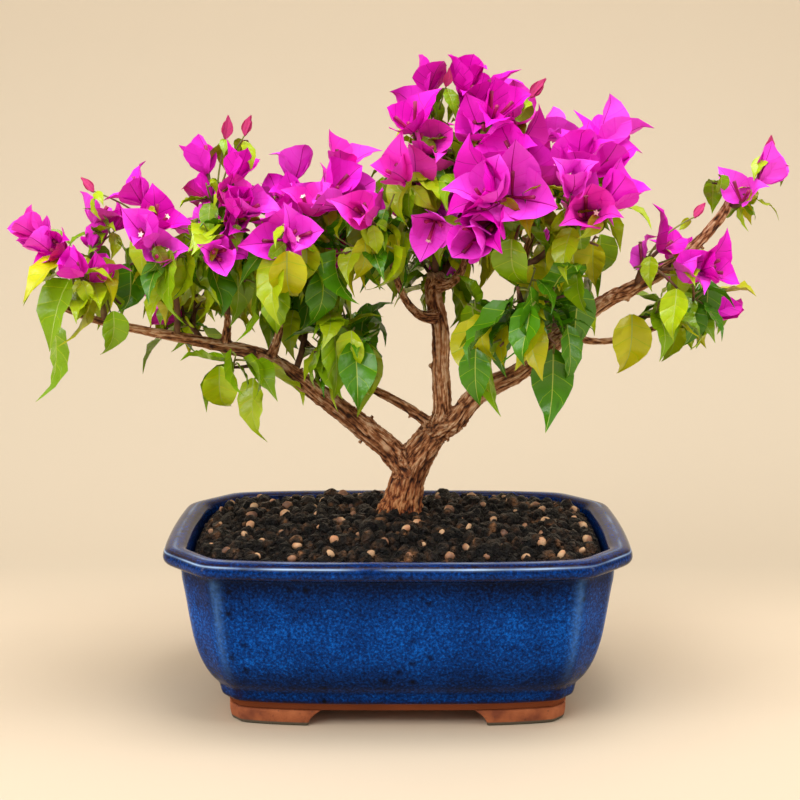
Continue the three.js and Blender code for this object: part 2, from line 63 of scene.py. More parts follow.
HIGHLIGHT_LINE, FINE_LINE, SOFT_LINE = 0.35, 0.45, 0.9
# Painted highlight along the corner creases, by height
CREASE_HIGHLIGHT_HEIGHTS = ([20, 34, 60, 84, 88], [0, 0.5, 1, 1, 0])
CREASE_THIN = ([12, 42, 84, 90], [0.75, 0, 0, 0.3])
LIP_SHINE, GLAZE_END = ([88.5, 90.5], [0, 1]), ([13.4, 14.2], [1, 0])
# Painted light and shade by height: lighter on the belly and rim, darker under the lip and near the foot
GLAZE_LIGHT_BY_HEIGHT = ([9, 18, 24, 40, 60, 76, 85, 87.5, 89, 92, 95, 97],
               [0.1, 0.55, 0.2, 0.72, 0.8, 0.5, 0.1, 0.0, 0.25, 0.55, 0.3, 0.4])


def node(tree, kind, sockets=None, **settings):
    """A node with its settings, its values and its links"""
    made = tree.nodes.new(kind)
    for key, value in settings.items():
        setattr(made, key, value)
    for key, value in (sockets or {}).items():
        if isinstance(value, bpy.types.NodeSocket):
            tree.links.new(value, made.inputs[key])
        else:
            made.inputs[key].default_value = value
    return made


def maths(tree, operation, first, second=0.0, third=0.0, clamp=True):
    """One sum of two or three values, kept between 0 and 1 unless it is told not to"""
    return node(tree, "ShaderNodeMath", {0: first, 1: second, 2: third}, operation=operation,
                use_clamp=clamp).outputs[0]


def between(tree, value, low, high, first=0.0, last=1.0):
    """A value carried from one span to another and held at its ends"""
    return node(tree, "ShaderNodeMapRange", {"Value": value, "From Min": low, "From Max": high,
                                             "To Min": first, "To Max": last}).outputs[0]


def cloud(tree, place, scale, detail=2.0, roughness=0.5):
    """An even noise"""
    return node(tree, "ShaderNodeTexNoise", {"Vector": place, "Scale": scale, "Detail": detail,
                                             "Roughness": roughness}).outputs[0]


def own_place(tree):
    """Where a point lies on its piece"""
    return node(tree, "ShaderNodeTexCoord").outputs["Object"]


def new_group(name, inputs, outputs):
    """An empty effect with named sockets"""
    made = bpy.data.node_groups.new(name, "ShaderNodeTree")
    for side, labels in (("INPUT", inputs), ("OUTPUT", outputs)):
        for label in labels:
            made.interface.new_socket(label, in_out=side, socket_type="NodeSocketFloat")
    return made, node(made, "NodeGroupInput").outputs, node(made, "NodeGroupOutput").inputs


# Uneven round spots, as in speckled glaze, gritty clay and stone
flecks, given, result = new_group("Flecks", ["Scale", "Share", "Size"], ["Mask"])
spot_place = own_place(flecks)
ragged = node(flecks, "ShaderNodeTexNoise", {"Vector": spot_place, "Scale": 900.0})
ragged = node(flecks, "ShaderNodeVectorMath", {0: ragged.outputs[1], 3: 0.0012}, operation="SCALE")
ragged = node(flecks, "ShaderNodeVectorMath", {0: spot_place, 1: ragged.outputs[0]}, operation="ADD")
cells = node(flecks, "ShaderNodeTexVoronoi", {"Vector": ragged.outputs[0], "Scale": given["Scale"]})
chance = node(flecks, "ShaderNodeSeparateColor", {0: cells.outputs["Color"]}).outputs[0]
chosen = maths(flecks, "LESS_THAN", chance, given["Share"])
near = between(flecks, cells.outputs["Distance"], given["Size"], 0.08)
flecks.links.new(maths(flecks, "MULTIPLY", chosen, near), result["Mask"])

# Two sizes of cloud, for colour that drifts over a surface
drift, given, result = new_group("Drift", ["Scale"], ["Broad", "Fine"])
drift_place = own_place(drift)
finer = maths(drift, "MULTIPLY", given["Scale"], 9.0, clamp=False)
drift.links.new(cloud(drift, drift_place, given["Scale"], 3.0), result["Broad"])
drift.links.new(cloud(drift, drift_place, finer), result["Fine"])


def effect(tree, group, **values):
    """A shared effect, placed in a material with its own values"""
    made = node(tree, "ShaderNodeGroup", node_tree=group)
    for label, value in values.items():
        made.inputs[label].default_value = value
    return made.outputs


def spots(tree, scale, share, size):
    """The mask of uneven spots"""
    return effect(tree, flecks, Scale=scale, Share=share, Size=size)["Mask"]


def kept(tree, name, output="Fac"):
    """What was painted on a piece"""
    return node(tree, "ShaderNodeAttribute", attribute_name=name).outputs[output]


def rgb(red, green, blue):
    """A screen colour out of 255, as the shaders take it"""
    return tuple(((v / 255 + 0.055) / 1.055) ** 2.4 for v in (red, green, blue)) + (1.0,)


def new_finish(name, **constants):
    """A material with its shader, whose even values are set on the shader itself"""
    made = bpy.data.materials.new(name)
    made.use_nodes = True
    skin = made.node_tree.nodes["Principled BSDF"]
    for key, value in constants.items():
        skin.inputs[key.replace("_", " ")].default_value = value
    return made, made.node_tree, skin


def blend(tree, share, first, second):
    """One colour mixed over another"""
    return node(tree, "ShaderNodeMix", {0: share, 6: first, 7: second}, data_type="RGBA").outputs[2]


def ramp(tree, value, *stops):
    """A row of colours along a value"""
    made = node(tree, "ShaderNodeValToRGB", {0: value})
    keys = made.color_ramp.elements
    while len(keys) < len(stops):
        keys.new(0.5)
    for key, (place, colour) in zip(keys, stops):
        key.position, key.color = place, colour
    return made.outputs[0]


def roughen(tree, skin, height, strength, distance):
    """Fine relief in the light on a surface"""
    made = node(tree, "ShaderNodeBump", {"Height": height, "Strength": strength, "Distance": distance})
    tree.links.new(made.outputs[0], skin.inputs["Normal"])


glaze, tree, skin = new_finish("cobalt_glaze")
broad, fine = effect(tree, drift, Scale=38.0)
thin, pool, bare, crease_highlight, painted_lip_highlight, shine = (
    kept(tree, name) for name in ("thin", "pool", "bare", "crease_highlight", "painted_lip_highlight", "shine"))
tone = maths(tree, "MULTIPLY_ADD", cloud(tree, own_place(tree), 700.0, 4.0, 0.7), 1.5, -0.4)
# painted light and shade: the blue is lightened or darkened by height on the pot
tone = maths(tree, "MULTIPLY_ADD", pool, 0.5, tone)
tone = maths(tree, "MULTIPLY_ADD", broad, 0.4, maths(tree, "SUBTRACT", tone, 0.3))
blue = ramp(tree, tone, (0.1, rgb(2, 8, 26)), (0.4, rgb(2, 30, 76)), (0.66, rgb(4, 56, 130)),
            (0.98, rgb(18, 108, 216)))
drips = maths(tree, "MULTIPLY", spots(tree, 125.0, 0.22, 0.36), maths(tree, "SUBTRACT", 1.5, pool))
blue = blend(tree, drips, blue, rgb(3, 8, 22))
# painted highlight: a paler blue along the corner creases, where bright light would catch them
blue = blend(tree, maths(tree, "MULTIPLY", crease_highlight, fine), blue, rgb(96, 146, 210))
# painted highlight: a pale bluish-white line along the lip's top edge and on its flat top
blue = blend(tree, painted_lip_highlight, blue, rgb(176, 206, 242))
worn = maths(tree, "MULTIPLY", thin, maths(tree, "MULTIPLY_ADD", fine, 2.6, -0.5))
colour = blend(tree, worn, blue, rgb(36, 18, 13))
# the bare clay under the glaze is the clay's own colour painted darker than the feet, as painted shade under
# the pot
clay_band_in_painted_shade = blend(tree, broad, rgb(104, 54, 32), rgb(140, 76, 46))
tree.links.new(blend(tree, bare, colour, clay_band_in_painted_shade), skin.inputs["Base Color"])
tree.links.new(between(tree, bare, 0.0, 1.0, 0.13, 0.85), skin.inputs["Roughness"])
tree.links.new(between(tree, shine, 0.0, 1.0, 0.05, 0.09), skin.inputs["Specular IOR Level"])
roughen(tree, skin, broad, 0.15, 0.002)


def soften(ring, rounds):
    """Rounds the corners of a closed ring of points or values"""
    for _ in range(rounds):
        ring = 0.5 * ring + 0.25 * (np.roll(ring, 1, 0) + np.roll(ring, -1, 0))
    return ring


def pot_ring(inset):
    """The pot's outline at an inset from its rim"""
    facet = math.atan2(SIDE_CREASE[1] - END_CREASE[1], END_CREASE[0] - SIDE_CREASE[0])
    end = np.array([END_CREASE[0] - inset,
                    END_CREASE[1] - inset * math.tan((math.pi / 2 - facet) / 2)])
    side = np.array([SIDE_CREASE[0] - inset * math.tan(facet / 2), SIDE_CREASE[1] - inset])
    t = np.linspace(0, 1, END_STEPS, endpoint=False)
    bowed_end = np.stack([end[0] + (RIM_END - END_CREASE[0]) * (1 - t**2), end[1] * t], 1)
    t = np.linspace(0, 1, FACET_STEPS, endpoint=False)[:, None]
    corner = end * (1 - t) + side * t
    t = np.linspace(1, 0, SIDE_STEPS)
    bow = (RIM_SIDE - SIDE_CREASE[1]) * (1 - t**SIDE_CURVE)
    bowed_side = np.stack([side[0] * t, side[1] + bow], 1)
    quarter = np.concatenate([bowed_end, corner, bowed_side])
    half = np.concatenate([quarter, quarter[-2:0:-1] * (-1, 1)])
    return soften(np.concatenate([half, -half]), CORNER_ROUNDS)


def at_height(ring, z):
    """A flat ring of points at one height"""
    return np.column_stack([ring, np.full(len(ring), z)])


def through(points, t):
    """Places on a centripetal curve through the given points, t from 0 to 1"""
    rows = np.asarray(points, float)
    last = len(rows) - 1
    padded = np.vstack([2 * rows[0] - rows[1], rows, 2 * rows[-1] - rows[-2]])
    place = np.clip(np.atleast_1d(t), 0, 1) * last
    i = np.minimum(place.astype(int), last - 1)
    u = (place - i)[:, None]
    p0, p1, p2, p3 = (padded[i + k] for k in range(4))
    d0, d1, d2 = (np.linalg.norm(b - a, axis=1, keepdims=True) ** 0.5
                  for a, b in ((p0, p1), (p1, p2), (p2, p3)))
    leave = d1 * ((p1 - p0) / d0 - (p2 - p0) / (d0 + d1) + (p2 - p1) / d1)
    arrive = d1 * ((p2 - p1) / d1 - (p3 - p1) / (d1 + d2) + (p3 - p2) / d2)
    rise = -3 * p1 + 3 * p2 - 2 * leave - arrive
    turn = 2 * p1 - 2 * p2 + leave + arrive
    return p1 + leave * u + rise * u**2 + turn * u**3


def loft(rings, start=0):
    """Faces of a skin through equal rings, closed by a flat face at each end"""
    count, around = len(rings), len(rings[0])
    faces = []
    for i in range(count - 1):
        low, high = start + i * around, start + (i + 1) * around
        for j in range(around):
            k = (j + 1) % around
            faces.append((low + j, low + k, high + k, high + j))
    faces.append(tuple(range(start + around - 1, start - 1, -1)))
    end = start + (count - 1) * around
    faces.append(tuple(range(end, end + around)))
    return faces


def piece(name, points, faces, *finishes):
    """A smooth mesh object from points in millimetres, sitting at the origin"""
    mesh = bpy.data.meshes.new(name)
    mesh.from_pydata((np.asarray(points, float).reshape(-1, 3) * MM).tolist(), [], faces)
    for finish in finishes:
        mesh.materials.append(finish)
    mesh.polygons.foreach_set("use_smooth", [True] * len(mesh.polygons))
    made = bpy.data.objects.new(name, mesh)
    bpy.context.collection.objects.link(made)
    return made


def near_line(values, middle, spread):
    """How near each value is to a line, from 1 on it to 0 well off it"""
    return np.exp(-((values - middle) / spread) ** 2)


def paint(made, name, values, kind="FLOAT"):
    """Keeps a value or vector for each point of a piece"""
    layer = made.data.attributes.new(name, kind, "POINT")
    layer.data.foreach_set("vector" if kind == "FLOAT_VECTOR" else "value",
                           np.ravel(values).astype(np.float32))


def fit(made, slot, *nodes):
    """Rides a piece on the plant and lets it stand for its solids"""
    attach(made, "root")
    if nodes:
        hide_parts(*nodes)


rows = np.array(POT_OUTSIDE + POT_INSIDE, float)
profile = through(rows, np.linspace(0, 1, PROFILE_STEPS * (len(rows) - 1) + 1))
rings = [at_height(pot_ring(inset), z) for inset, z in profile]
pot = piece("glazed_pot", np.concatenate(rings), loft(rings), glaze)
quarter = np.zeros(QUARTER)
quarter[[END_STEPS, END_STEPS + FACET_STEPS]] = 1
half = np.concatenate([quarter, quarter[-2:0:-1]])
creases = soften(np.concatenate([half, half]), CREASE_ROUNDS)
creases = creases / creases.max()
inset, height = profile.T
outer = np.arange(len(profile)) <= PROFILE_STEPS * (len(POT_OUTSIDE) - 1)
edges = near_line(height, LIP_EDGE, FINE_LINE) + 0.8 * near_line(height, UNDER_LIP, FINE_LINE)
edges = (edges + 0.8 * near_line(height, FOOT_EDGE, SOFT_LINE)) * outer
edges += 0.9 * near_line(inset, LIP_INNER[0], SOFT_LINE) * (height > LIP_INNER[1]) * ~outer
thin_creases = creases[None, :] * (np.interp(height, *CREASE_THIN) * outer)[:, None]
# how strong the painted crease highlight is at each height
crease_highlight_height = np.interp(height, *CREASE_HIGHLIGHT_HEIGHTS) * outer
# painted highlight along the lip, broken up round the pot
lip_highlight_mask = near_line(height, LIP_HIGHLIGHT, HIGHLIGHT_LINE) * outer
lip_highlight_mask += 0.3 * near_line(inset, LIP_FLAT[0], SOFT_LINE) * (height > LIP_FLAT[1])
turns = np.linspace(0, 2 * math.pi, AROUND, endpoint=False)
highlight_breaks = np.array([0.5 + 1.3 * noise.noise(Vector((5 * math.cos(a), 5 * math.sin(a), 0))) for a in turns])
paint(pot, "thin", np.clip(np.maximum(edges[:, None], thin_creases), 0, 1))
# painted highlight along the corner creases, strongest on the belly
paint(pot, "crease_highlight", 0.6 * creases[None, :] ** 2 * crease_highlight_height[:, None])
paint(pot, "painted_lip_highlight", np.clip(lip_highlight_mask[:, None] * highlight_breaks[None, :], 0, 1))
# the painted light and shade by height is kept along with the glaze's shine and bare foot
for name, levels in (("shine", LIP_SHINE), ("pool", GLAZE_LIGHT_BY_HEIGHT), ("bare", GLAZE_END)):
    paint(pot, name, np.repeat(np.interp(height, *levels), AROUND))
fit(pot, "glaze", "pot")

# Feet: four brackets of the same clay, pressed on under the corners and left bare.
# Their ends are cut back in a curve, and their colour goes grey along the bottom edge, where they meet the
# ground.
FOOT_INSET, FOOT_WALL, FOOT_TOP, FOOT_LEVELS = 33.5, 17.0, 8.8, 9
FOOT_END_X, FOOT_END_Y, FOOT_CUT, FOOT_CURVE = 48.0, 24.0, 7.0, 2.2
FOOT_DRAW, FOOT_BEVEL, FOOT_GREY_BAND = 0.012, 0.9, (2.4, 1.7)


def own_axis(tree, axis):
    """How far along x, y or z a point lies on its piece"""
    return node(tree, "ShaderNodeSeparateXYZ", {0: own_place(tree)}).outputs[axis]


clay, tree, skin = new_finish("bare_clay", Roughness=0.82)
broad, fine = effect(tree, drift, Scale=90.0)
colour = ramp(tree, broad, (0.3, rgb(122, 58, 30)), (0.5, rgb(160, 86, 46)), (0.72, rgb(186, 108, 64)))
colour = blend(tree, maths(tree, "MULTIPLY", spots(tree, 420.0, 0.3, 0.3), 0.6), colour, rgb(78, 42, 28))
# grey over the lowest two millimetres or so of each foot
grey_foot_band = between(tree, own_axis(tree, 2), FOOT_GREY_BAND[0] * MM, FOOT_GREY_BAND[1] * MM)
tree.links.new(blend(tree, grey_foot_band, colour, rgb(82, 74, 58)), skin.inputs["Base Color"])
roughen(tree, skin, fine, 0.4, 0.0006)
corner = pot_ring(FOOT_INSET)[:QUARTER]
corner = corner[(corner[:, 0] > FOOT_END_X + 1) & (corner[:, 1] > FOOT_END_Y + 1)]
inner_x, inner_y = corner[0, 0] - FOOT_WALL, corner[-1, 1] - FOOT_WALL
for (end, sx), (side, sy) in itertools.product((("left", -1), ("right", 1)), (("front", -1), ("back", 1))):
    rings = []
    for z in np.linspace(0, FOOT_TOP, FOOT_LEVELS):
        cut = FOOT_CUT * (z / FOOT_TOP) ** FOOT_CURVE
        drawn_in = 1 - FOOT_DRAW * (1 - z / FOOT_TOP) ** 3
        end_x, end_y = FOOT_END_X - cut, FOOT_END_Y - cut
        ends = [(end_x, corner[-1, 1] * drawn_in), (end_x, inner_y), (inner_x, inner_y), (inner_x, end_y),
                (corner[0, 0] * drawn_in, end_y)]
        ring = np.concatenate([corner * drawn_in, ends]) * (sx, sy)
        rings.append(at_height(ring if sx * sy > 0 else ring[::-1], z))
    foot = piece(f"clay_foot_{side}_{end}", np.concatenate(rings), loft(rings), clay)
    bevel = foot.modifiers.new("worn_edges", "BEVEL")
    bevel.width, bevel.segments, bevel.limit_method = FOOT_BEVEL * MM, 3, "ANGLE"
    bevel.angle_limit = math.radians(40)
    fit(foot, "clay", f"foot_{side}_{end}")

# Soil: a packed mound of dark grit, filled in to just under the lip and rising to the trunk's foot.
# Loose on it lie porous lumps, grains and crumbs, and a few tan pebbles.
SOIL_EDGE, SOIL_TOP, SOIL_SEAT = 93.0, 102.0, 0.2
TRUNK_FOOT = np.array([3.0, 14.0])
GRAIN_EDGE, BED_SINK, BED_WALL = 14.5, 1.4, ((25.5, 35), (19, 57), (15.5, 86))
CLOD_PITCH, CLOD_STRAY, CLOD_LEAST, CLOD_MORE = 21.0, 9.0, (9, 2), (4, 2.6)
CLOD_FADE_OUT, CLOD_FADE_IN = 0.1, 0.18
BED_REACH, SEAT_REACH, BED_RINGS, GRAIN_RINGS = 0.985, 0.02, 26, 24
SEED, ANY_TURN = 20, 6.28


def clouded(name, scale, *stops, by="Broad", grain=0.0, depth=0.0006, **constants):
    """A finish whose colour drifts along a row of stops, with a fine grain in its light"""
    made, tree, skin = new_finish(name, **constants)
    clouds = effect(tree, drift, Scale=scale)
    tree.links.new(ramp(tree, clouds[by], *stops), skin.inputs["Base Color"])
    if grain:
        roughen(tree, skin, clouds["Fine"], grain, depth)
    return made


soil = clouded("dark_soil", 110.0, (0.36, rgb(6, 5, 4)), (0.53, rgb(26, 20, 15)), (0.62, rgb(66, 47, 33)),
               (0.74, rgb(146, 100, 64)), grain=1.0, depth=0.003, Roughness=0.4, Specular_IOR_Level=0.24)
packed = clouded("packed_soil", 160.0, (0.4, rgb(6, 5, 5)), (0.66, rgb(34, 26, 21)), by="Fine",
                 Roughness=0.95, Specular_IOR_Level=0.1)
pebble, tree, skin = new_finish("tan_pebble", Roughness=0.6)
broad, fine = effect(tree, drift, Scale=70.0)
colour = ramp(tree, broad, (0.34, rgb(92, 62, 48)), (0.47, rgb(150, 104, 72)), (0.56, rgb(206, 166, 124)),
              (0.68, rgb(190, 130, 90)))
colour = blend(tree, maths(tree, "MULTIPLY", spots(tree, 900.0, 0.3, 0.3), 0.5), colour, rgb(90, 62, 48))
tree.links.new(colour, skin.inputs["Base Color"])


def dice(seed):
    """A seeded run of numbers from 0 to 1"""
    state = seed
    while True:
        state = (state + 0x6D2B79F5) & 0xFFFFFFFF
        mixed = ((state ^ (state >> 15)) * (1 | state)) & 0xFFFFFFFF
        mixed = (mixed + ((mixed ^ (mixed >> 7)) * (61 | mixed))) & 0xFFFFFFFF ^ mixed
        yield (mixed ^ (mixed >> 14)) / 4294967296


roll = dice(SEED)
clods = np.array([
    (x + CLOD_STRAY * next(roll), y + CLOD_STRAY * next(roll),
     *(least + more * next(roll) for least, more in zip(CLOD_LEAST, CLOD_MORE)))
    for x in np.arange(-RIM_END, RIM_END, CLOD_PITCH) for y in np.arange(-RIM_SIDE, RIM_SIDE, CLOD_PITCH)])


def mound(share):
    """One ring of the soil's surface, from the pot's wall at 1 to the trunk's foot at 0"""
    rise = (1 - max(share, SOIL_SEAT) ** 2) / (1 - SOIL_SEAT**2)
    ring = TRUNK_FOOT + (pot_ring(GRAIN_EDGE) - TRUNK_FOOT) * share
    gap = ((ring[:, None] - clods[None, :, :2]) ** 2).sum(2)
    heaped = np.maximum(0, (clods[:, 3] * (1 - gap / clods[:, 2] ** 2)).max(1))
    level = min(1, (1 - share) / CLOD_FADE_OUT, max(0, share - SOIL_SEAT) / CLOD_FADE_IN)
    height = SOIL_EDGE + (SOIL_TOP - SOIL_EDGE) * rise + heaped * level - BED_SINK
    return np.column_stack([ring, height])


rings = [at_height(pot_ring(inset), z) for inset, z in BED_WALL]
rings += [mound(share) for share in np.linspace(BED_REACH, SEAT_REACH, BED_RINGS)]
fit(piece("soil_bed", np.concatenate(rings), loft(rings), packed), "soil", "soil")

scatter = bpy.data.node_groups.new("Loose_grains", "GeometryNodeTree")
sockets = {}
for label, kind in {"Surface": "Geometry", "Spacing": "Float", "Smallest": "Float", "Largest": "Float",
                    "Roughened": "Float", "Coarse": "Float", "Facets": "Int", "Seed": "Int",
                    "Finish": "Material", "Rounded": "Bool"}.items():
    socket = scatter.interface.new_socket(label, in_out="INPUT", socket_type="NodeSocket" + kind)
    sockets[label] = socket.identifier
scatter.interface.new_socket("Grains", in_out="OUTPUT", socket_type="NodeSocketGeometry")
asked = node(scatter, "NodeGroupInput").outputs
dots = node(scatter, "GeometryNodeDistributePointsOnFaces",
            {"Mesh": asked["Surface"], "Distance Min": asked["Spacing"], "Density Max": 400000.0,
             "Seed": asked["Seed"]}, distribute_method="POISSON")
size = node(scatter, "FunctionNodeRandomValue",
            {2: asked["Smallest"], 3: asked["Largest"], "Seed": asked["Seed"]})
squat = node(scatter, "FunctionNodeRandomValue", {0: (0.7, 0.7, 0.6), 1: (1.3, 1.3, 1.1), "Seed": 7},
             data_type="FLOAT_VECTOR")
scale = node(scatter, "ShaderNodeVectorMath", {0: squat.outputs[0], 3: size.outputs[1]}, operation="SCALE")
turned = node(scatter, "FunctionNodeRandomValue", {0: (0, 0, 0), 1: (ANY_TURN,) * 3, "Seed": 3},
              data_type="FLOAT_VECTOR")
lump = node(scatter, "GeometryNodeMeshIcoSphere", {"Radius": 1.0, "Subdivisions": asked["Facets"]})
laid = node(scatter, "GeometryNodeInstanceOnPoints",
            {"Points": dots.outputs["Points"], "Instance": lump.outputs[0], "Rotation": turned.outputs[0],
             "Scale": scale.outputs[0]})
real = node(scatter, "GeometryNodeRealizeInstances", {0: laid.outputs[0]})
pits = node(scatter, "ShaderNodeTexNoise", {"Scale": asked["Coarse"], "Detail": 4.0, "Roughness": 0.65})
dent = maths(scatter, "SUBTRACT", pits.outputs[0], 0.5, clamp=False)
dent = maths(scatter, "MULTIPLY", dent, asked["Roughened"], clamp=False)
outwards = node(scatter, "GeometryNodeInputNormal").outputs[0]
push = node(scatter, "ShaderNodeVectorMath", {0: outwards, 3: dent}, operation="SCALE")
rough = node(scatter, "GeometryNodeSetPosition", {"Geometry": real.outputs[0], "Offset": push.outputs[0]})
shaded = node(scatter, "GeometryNodeSetShadeSmooth",
              {"Geometry": rough.outputs[0], "Shade Smooth": asked["Rounded"]})
coated = node(scatter, "GeometryNodeSetMaterial",
              {"Geometry": shaded.outputs[0], "Material": asked["Finish"]})
node(scatter, "NodeGroupOutput", {0: coated.outputs[0]})


def as_mesh(made):
    """The plain mesh that a piece's modifiers give"""
    return bpy.data.meshes.new_from_object(made.evaluated_get(bpy.context.evaluated_depsgraph_get()))


# A row gives a size's name and finish, its reach over the mound and lift, then the sockets' values:
# spacing, smallest, largest and roughening in millimetres, coarseness, facets and seed.
GRAINS = [
    ("soil_lumps", soil, 0.94, 0.0, (6.4, 2.3, 4.7, 6.0), 420.0, 2, 11),
    ("soil_grains", soil, 0.955, 0.0, (5.2, 1.2, 2.4, 4.0), 520.0, 2, 23),
    ("soil_crumbs", soil, 0.975, 0.0, (3.3, 0.9, 1.7, 1.2), 700.0, 1, 31),
    ("soil_pebbles", pebble, 0.93, 1.4, (19.0, 1.5, 3.0, 2.4), 260.0, 2, 5),
]
for name, finish, reach, lift, sizes, *counts in GRAINS:
    rings = [mound(share) + (0, 0, lift) for share in np.linspace(reach, SEAT_REACH, GRAIN_RINGS)]
    ground = piece(name + "_ground", np.concatenate(rings), loft(rings)[:-2])
    lay = ground.modifiers.new("grains", "NODES")
    lay.node_group = scatter
    values = [*(size * MM for size in sizes), *counts, finish, finish is pebble]
    for label, value in zip(list(sockets)[1:], values):
        lay[sockets[label]] = value
    made = bpy.data.objects.new(name, as_mesh(ground))
    bpy.context.collection.objects.link(made)
    bpy.data.objects.remove(ground)
    fit(made, "soil", "soil")

# Trunk and boughs: one piece of living wood that forks twice, leans to the right and flares at
# its foot. The bark is brown and fibrous, splits into strips along each limb, and is redder low down.
CLEAR = 0.3
GROUND = SOIL_TOP + CLEAR
LIMB_ROWS = {
    "trunk": [(1, 14, 97.3, 14.5), (2.5, 14, 106, 11.4), (4, 13.5, 113, 10.2), (6, 13, 121, 9.8),
              (9, 12, 131, 10), (15, 11, 140, 9), (22, 10, 149, 8), (29, 8.5, 154, 5)],
    "left": [(5, 12, 127, 7.5), (-5, 12, 138, 7), (-22, 10, 153, 6.2), (-40, 8, 167, 5.5), (-58, 6, 181, 5),
             (-75, 3, 192, 4.3), (-96, 0, 198, 3.6), (-117, -4, 203, 3.1), (-140, -8, 208, 2.5),
             (-165, -11, 214, 2.2), (-193, -14, 226, 1.8)],
    "inner_left": [(19, 11, 152, 3.4), (4, 15, 162, 2.8), (-14, 20, 171, 2.5), (-27, 24, 176, 2.3),
                   (-40, 28, 185, 2.1), (-53, 32, 196, 1.8)],
    "upright": [(21, 10, 148, 6), (25, 10, 159, 5.4), (24, 12, 183, 5), (24, 13, 206, 4.9),
                (20, 12, 226, 4.9), (21, 12, 233, 5.6), (21, 12, 238, 4.6)],
    "right": [(21, 10, 148, 7), (32, 8, 155, 6.4), (44, 4, 170, 5.6), (71, 0, 186, 5.2), (85, -3, 200, 5.6),
              (96, -5, 209, 4.6), (114, -6, 224, 4.2), (127, -6, 230, 4), (151, -4, 244, 3.5),
              (174, -1, 266, 2.9), (183, 0, 280, 2.6)],
}
SIDE_BRANCHES = {
    "left_stub": ("left", 0.6, (-94, -2, 219), 2.2, 1.7),
    "left_riser": ("left", 0.48, (-66, -4, 226), 2.4, 1.7),
    "upright_left": ("upright", 0.55, (-1, -4, 237), 2.8, 1.9),
    "upright_right": ("upright", 0.76, (38, 2, 250), 2.7, 1.9),
    "riser": ("right", 0.37, (73, -26, 265), 2.7, 2.0),
    "lower": ("right", 0.47, (150, 20, 208), 2.1, 1.6),
}
LIMB_SIDES, LIMB_STEP, BRANCH_SINK, BRANCH_SWELL, SWELL_RUN = 20, 3, 3.0, 0.45, 4
LEAVE_SQUARE, BRANCH_BEND = 0.75, 0.5
NUB_EVERY, NUB_LEAST, NUB_MORE, NUB_LONG, NUB_TIP, NUB_TUBE = 13.0, 0.8, 0.12, 1.4, 0.6, (8, 3)
BARK_VOXEL, BARK_FOOT, SPINE_STEP, GRAIN_RUN = 0.6, GROUND - 4.5, 1.2, 0.16
PLATES, PLATE_SHARP, PLATE_SCALE, PLATE_FINER = 0.6, 3.4, 0.28, 0.5
FLAKES, FLAKE_SHARP, FLAKE_SCALE, FLAKE_SHIFT = 0.3, 3.0, 0.8, Vector((9, 3, 1))
GRIT, GRIT_SCALE, LUMP_SCALE, FIBRE_SCALE = 0.3, 0.45, 0.14, 0.01
BARK_DEPTH, BARK_THIN, BARK_THICK, BARK_LEVEL, BARK_LUMPS = 0.26, 0.3, 1.9, 0.66, 0.07
SAWN_ENDS = {"left": 1.2, "right": 1.4, "upright": 4.0}
RUST_TOP, RUST_FOOT = 150.0, 106.0


class Limb:
    """A path with a place, a heading and a radius at each t from 0 to 1"""

    def __init__(self, place, radius):
        self.place, self.radius = place, radius
        steps = [place(k / 12) for k in range(13)]
        self.length = sum((b - a).length for a, b in zip(steps, steps[1:]))

    def heading(self, t):
        return (self.place(min(1, t + 0.002)) - self.place(max(0, t - 0.002))).normalized()


class Bent(Limb):
    """A limb along one bend, thinning evenly"""

    def __init__(self, start, bend, end, wide, narrow):
        super().__init__(lambda t: start * (1 - t) ** 2 + bend * (2 * t * (1 - t)) + end * t**2,
                         lambda t: wide + (narrow - wide) * t)


def limb_through(rows):
    """A limb along a curve through rows of place and radius"""
    places, wide = np.array(rows, float)[:, :3], np.array(rows, float)[:, 3]
    span = np.linspace(0, 1, len(rows))
    return Limb(lambda t: Vector(through(places, t)[0]), lambda t: float(np.interp(t, span, wide)))


def seat(parent, t, goal, radius, slack=CLEAR):
    """Where a side branch leaves a limb's bark, and which way"""
    centre, along = parent.place(t), parent.heading(t)
    if t == 1:
        return centre + along * slack, along
    leave = goal - centre
    leave = (leave - along * (LEAVE_SQUARE * leave.dot(along))).normalized()
    cos = abs(leave.dot(along))
    return centre + leave * ((parent.radius(t) + slack + radius * cos) / math.sqrt(1 - cos * cos)), leave


def square_to(heading, towards):
    """The way nearest to another that is square to a heading"""
    return (towards - heading * towards.dot(heading)).normalized()


def way_out(right, over, turn):
    """A way out from an axis, turned round it"""
    return right * math.cos(turn) + over * math.sin(turn)


def add_tube(mesh, limb, sides, steps, set_back=0.0, swell=0.0):
    """Adds rings along a limb to a joined mesh, the first set back into what carries the limb"""
    points, faces = mesh
    across = Vector((0, 1, 0)) if abs(limb.heading(0.5).y) < 0.8 else Vector((1, 0, 0))
    rings = []
    for k in range(steps + 1):
        t = k / steps
        centre, ahead = limb.place(t), limb.heading(t)
        if k == 0:
            centre = centre - ahead * set_back
        right = square_to(ahead, across)
        over = ahead.cross(right)
        radius = limb.radius(t) * (1 + swell * math.exp(-t * limb.length / SWELL_RUN))
        rings.append([centre + way_out(right, over, 2 * math.pi * j / sides) * radius for j in range(sides)])
    faces += loft(rings, len(points))
    points += [p for ring in rings for p in ring]


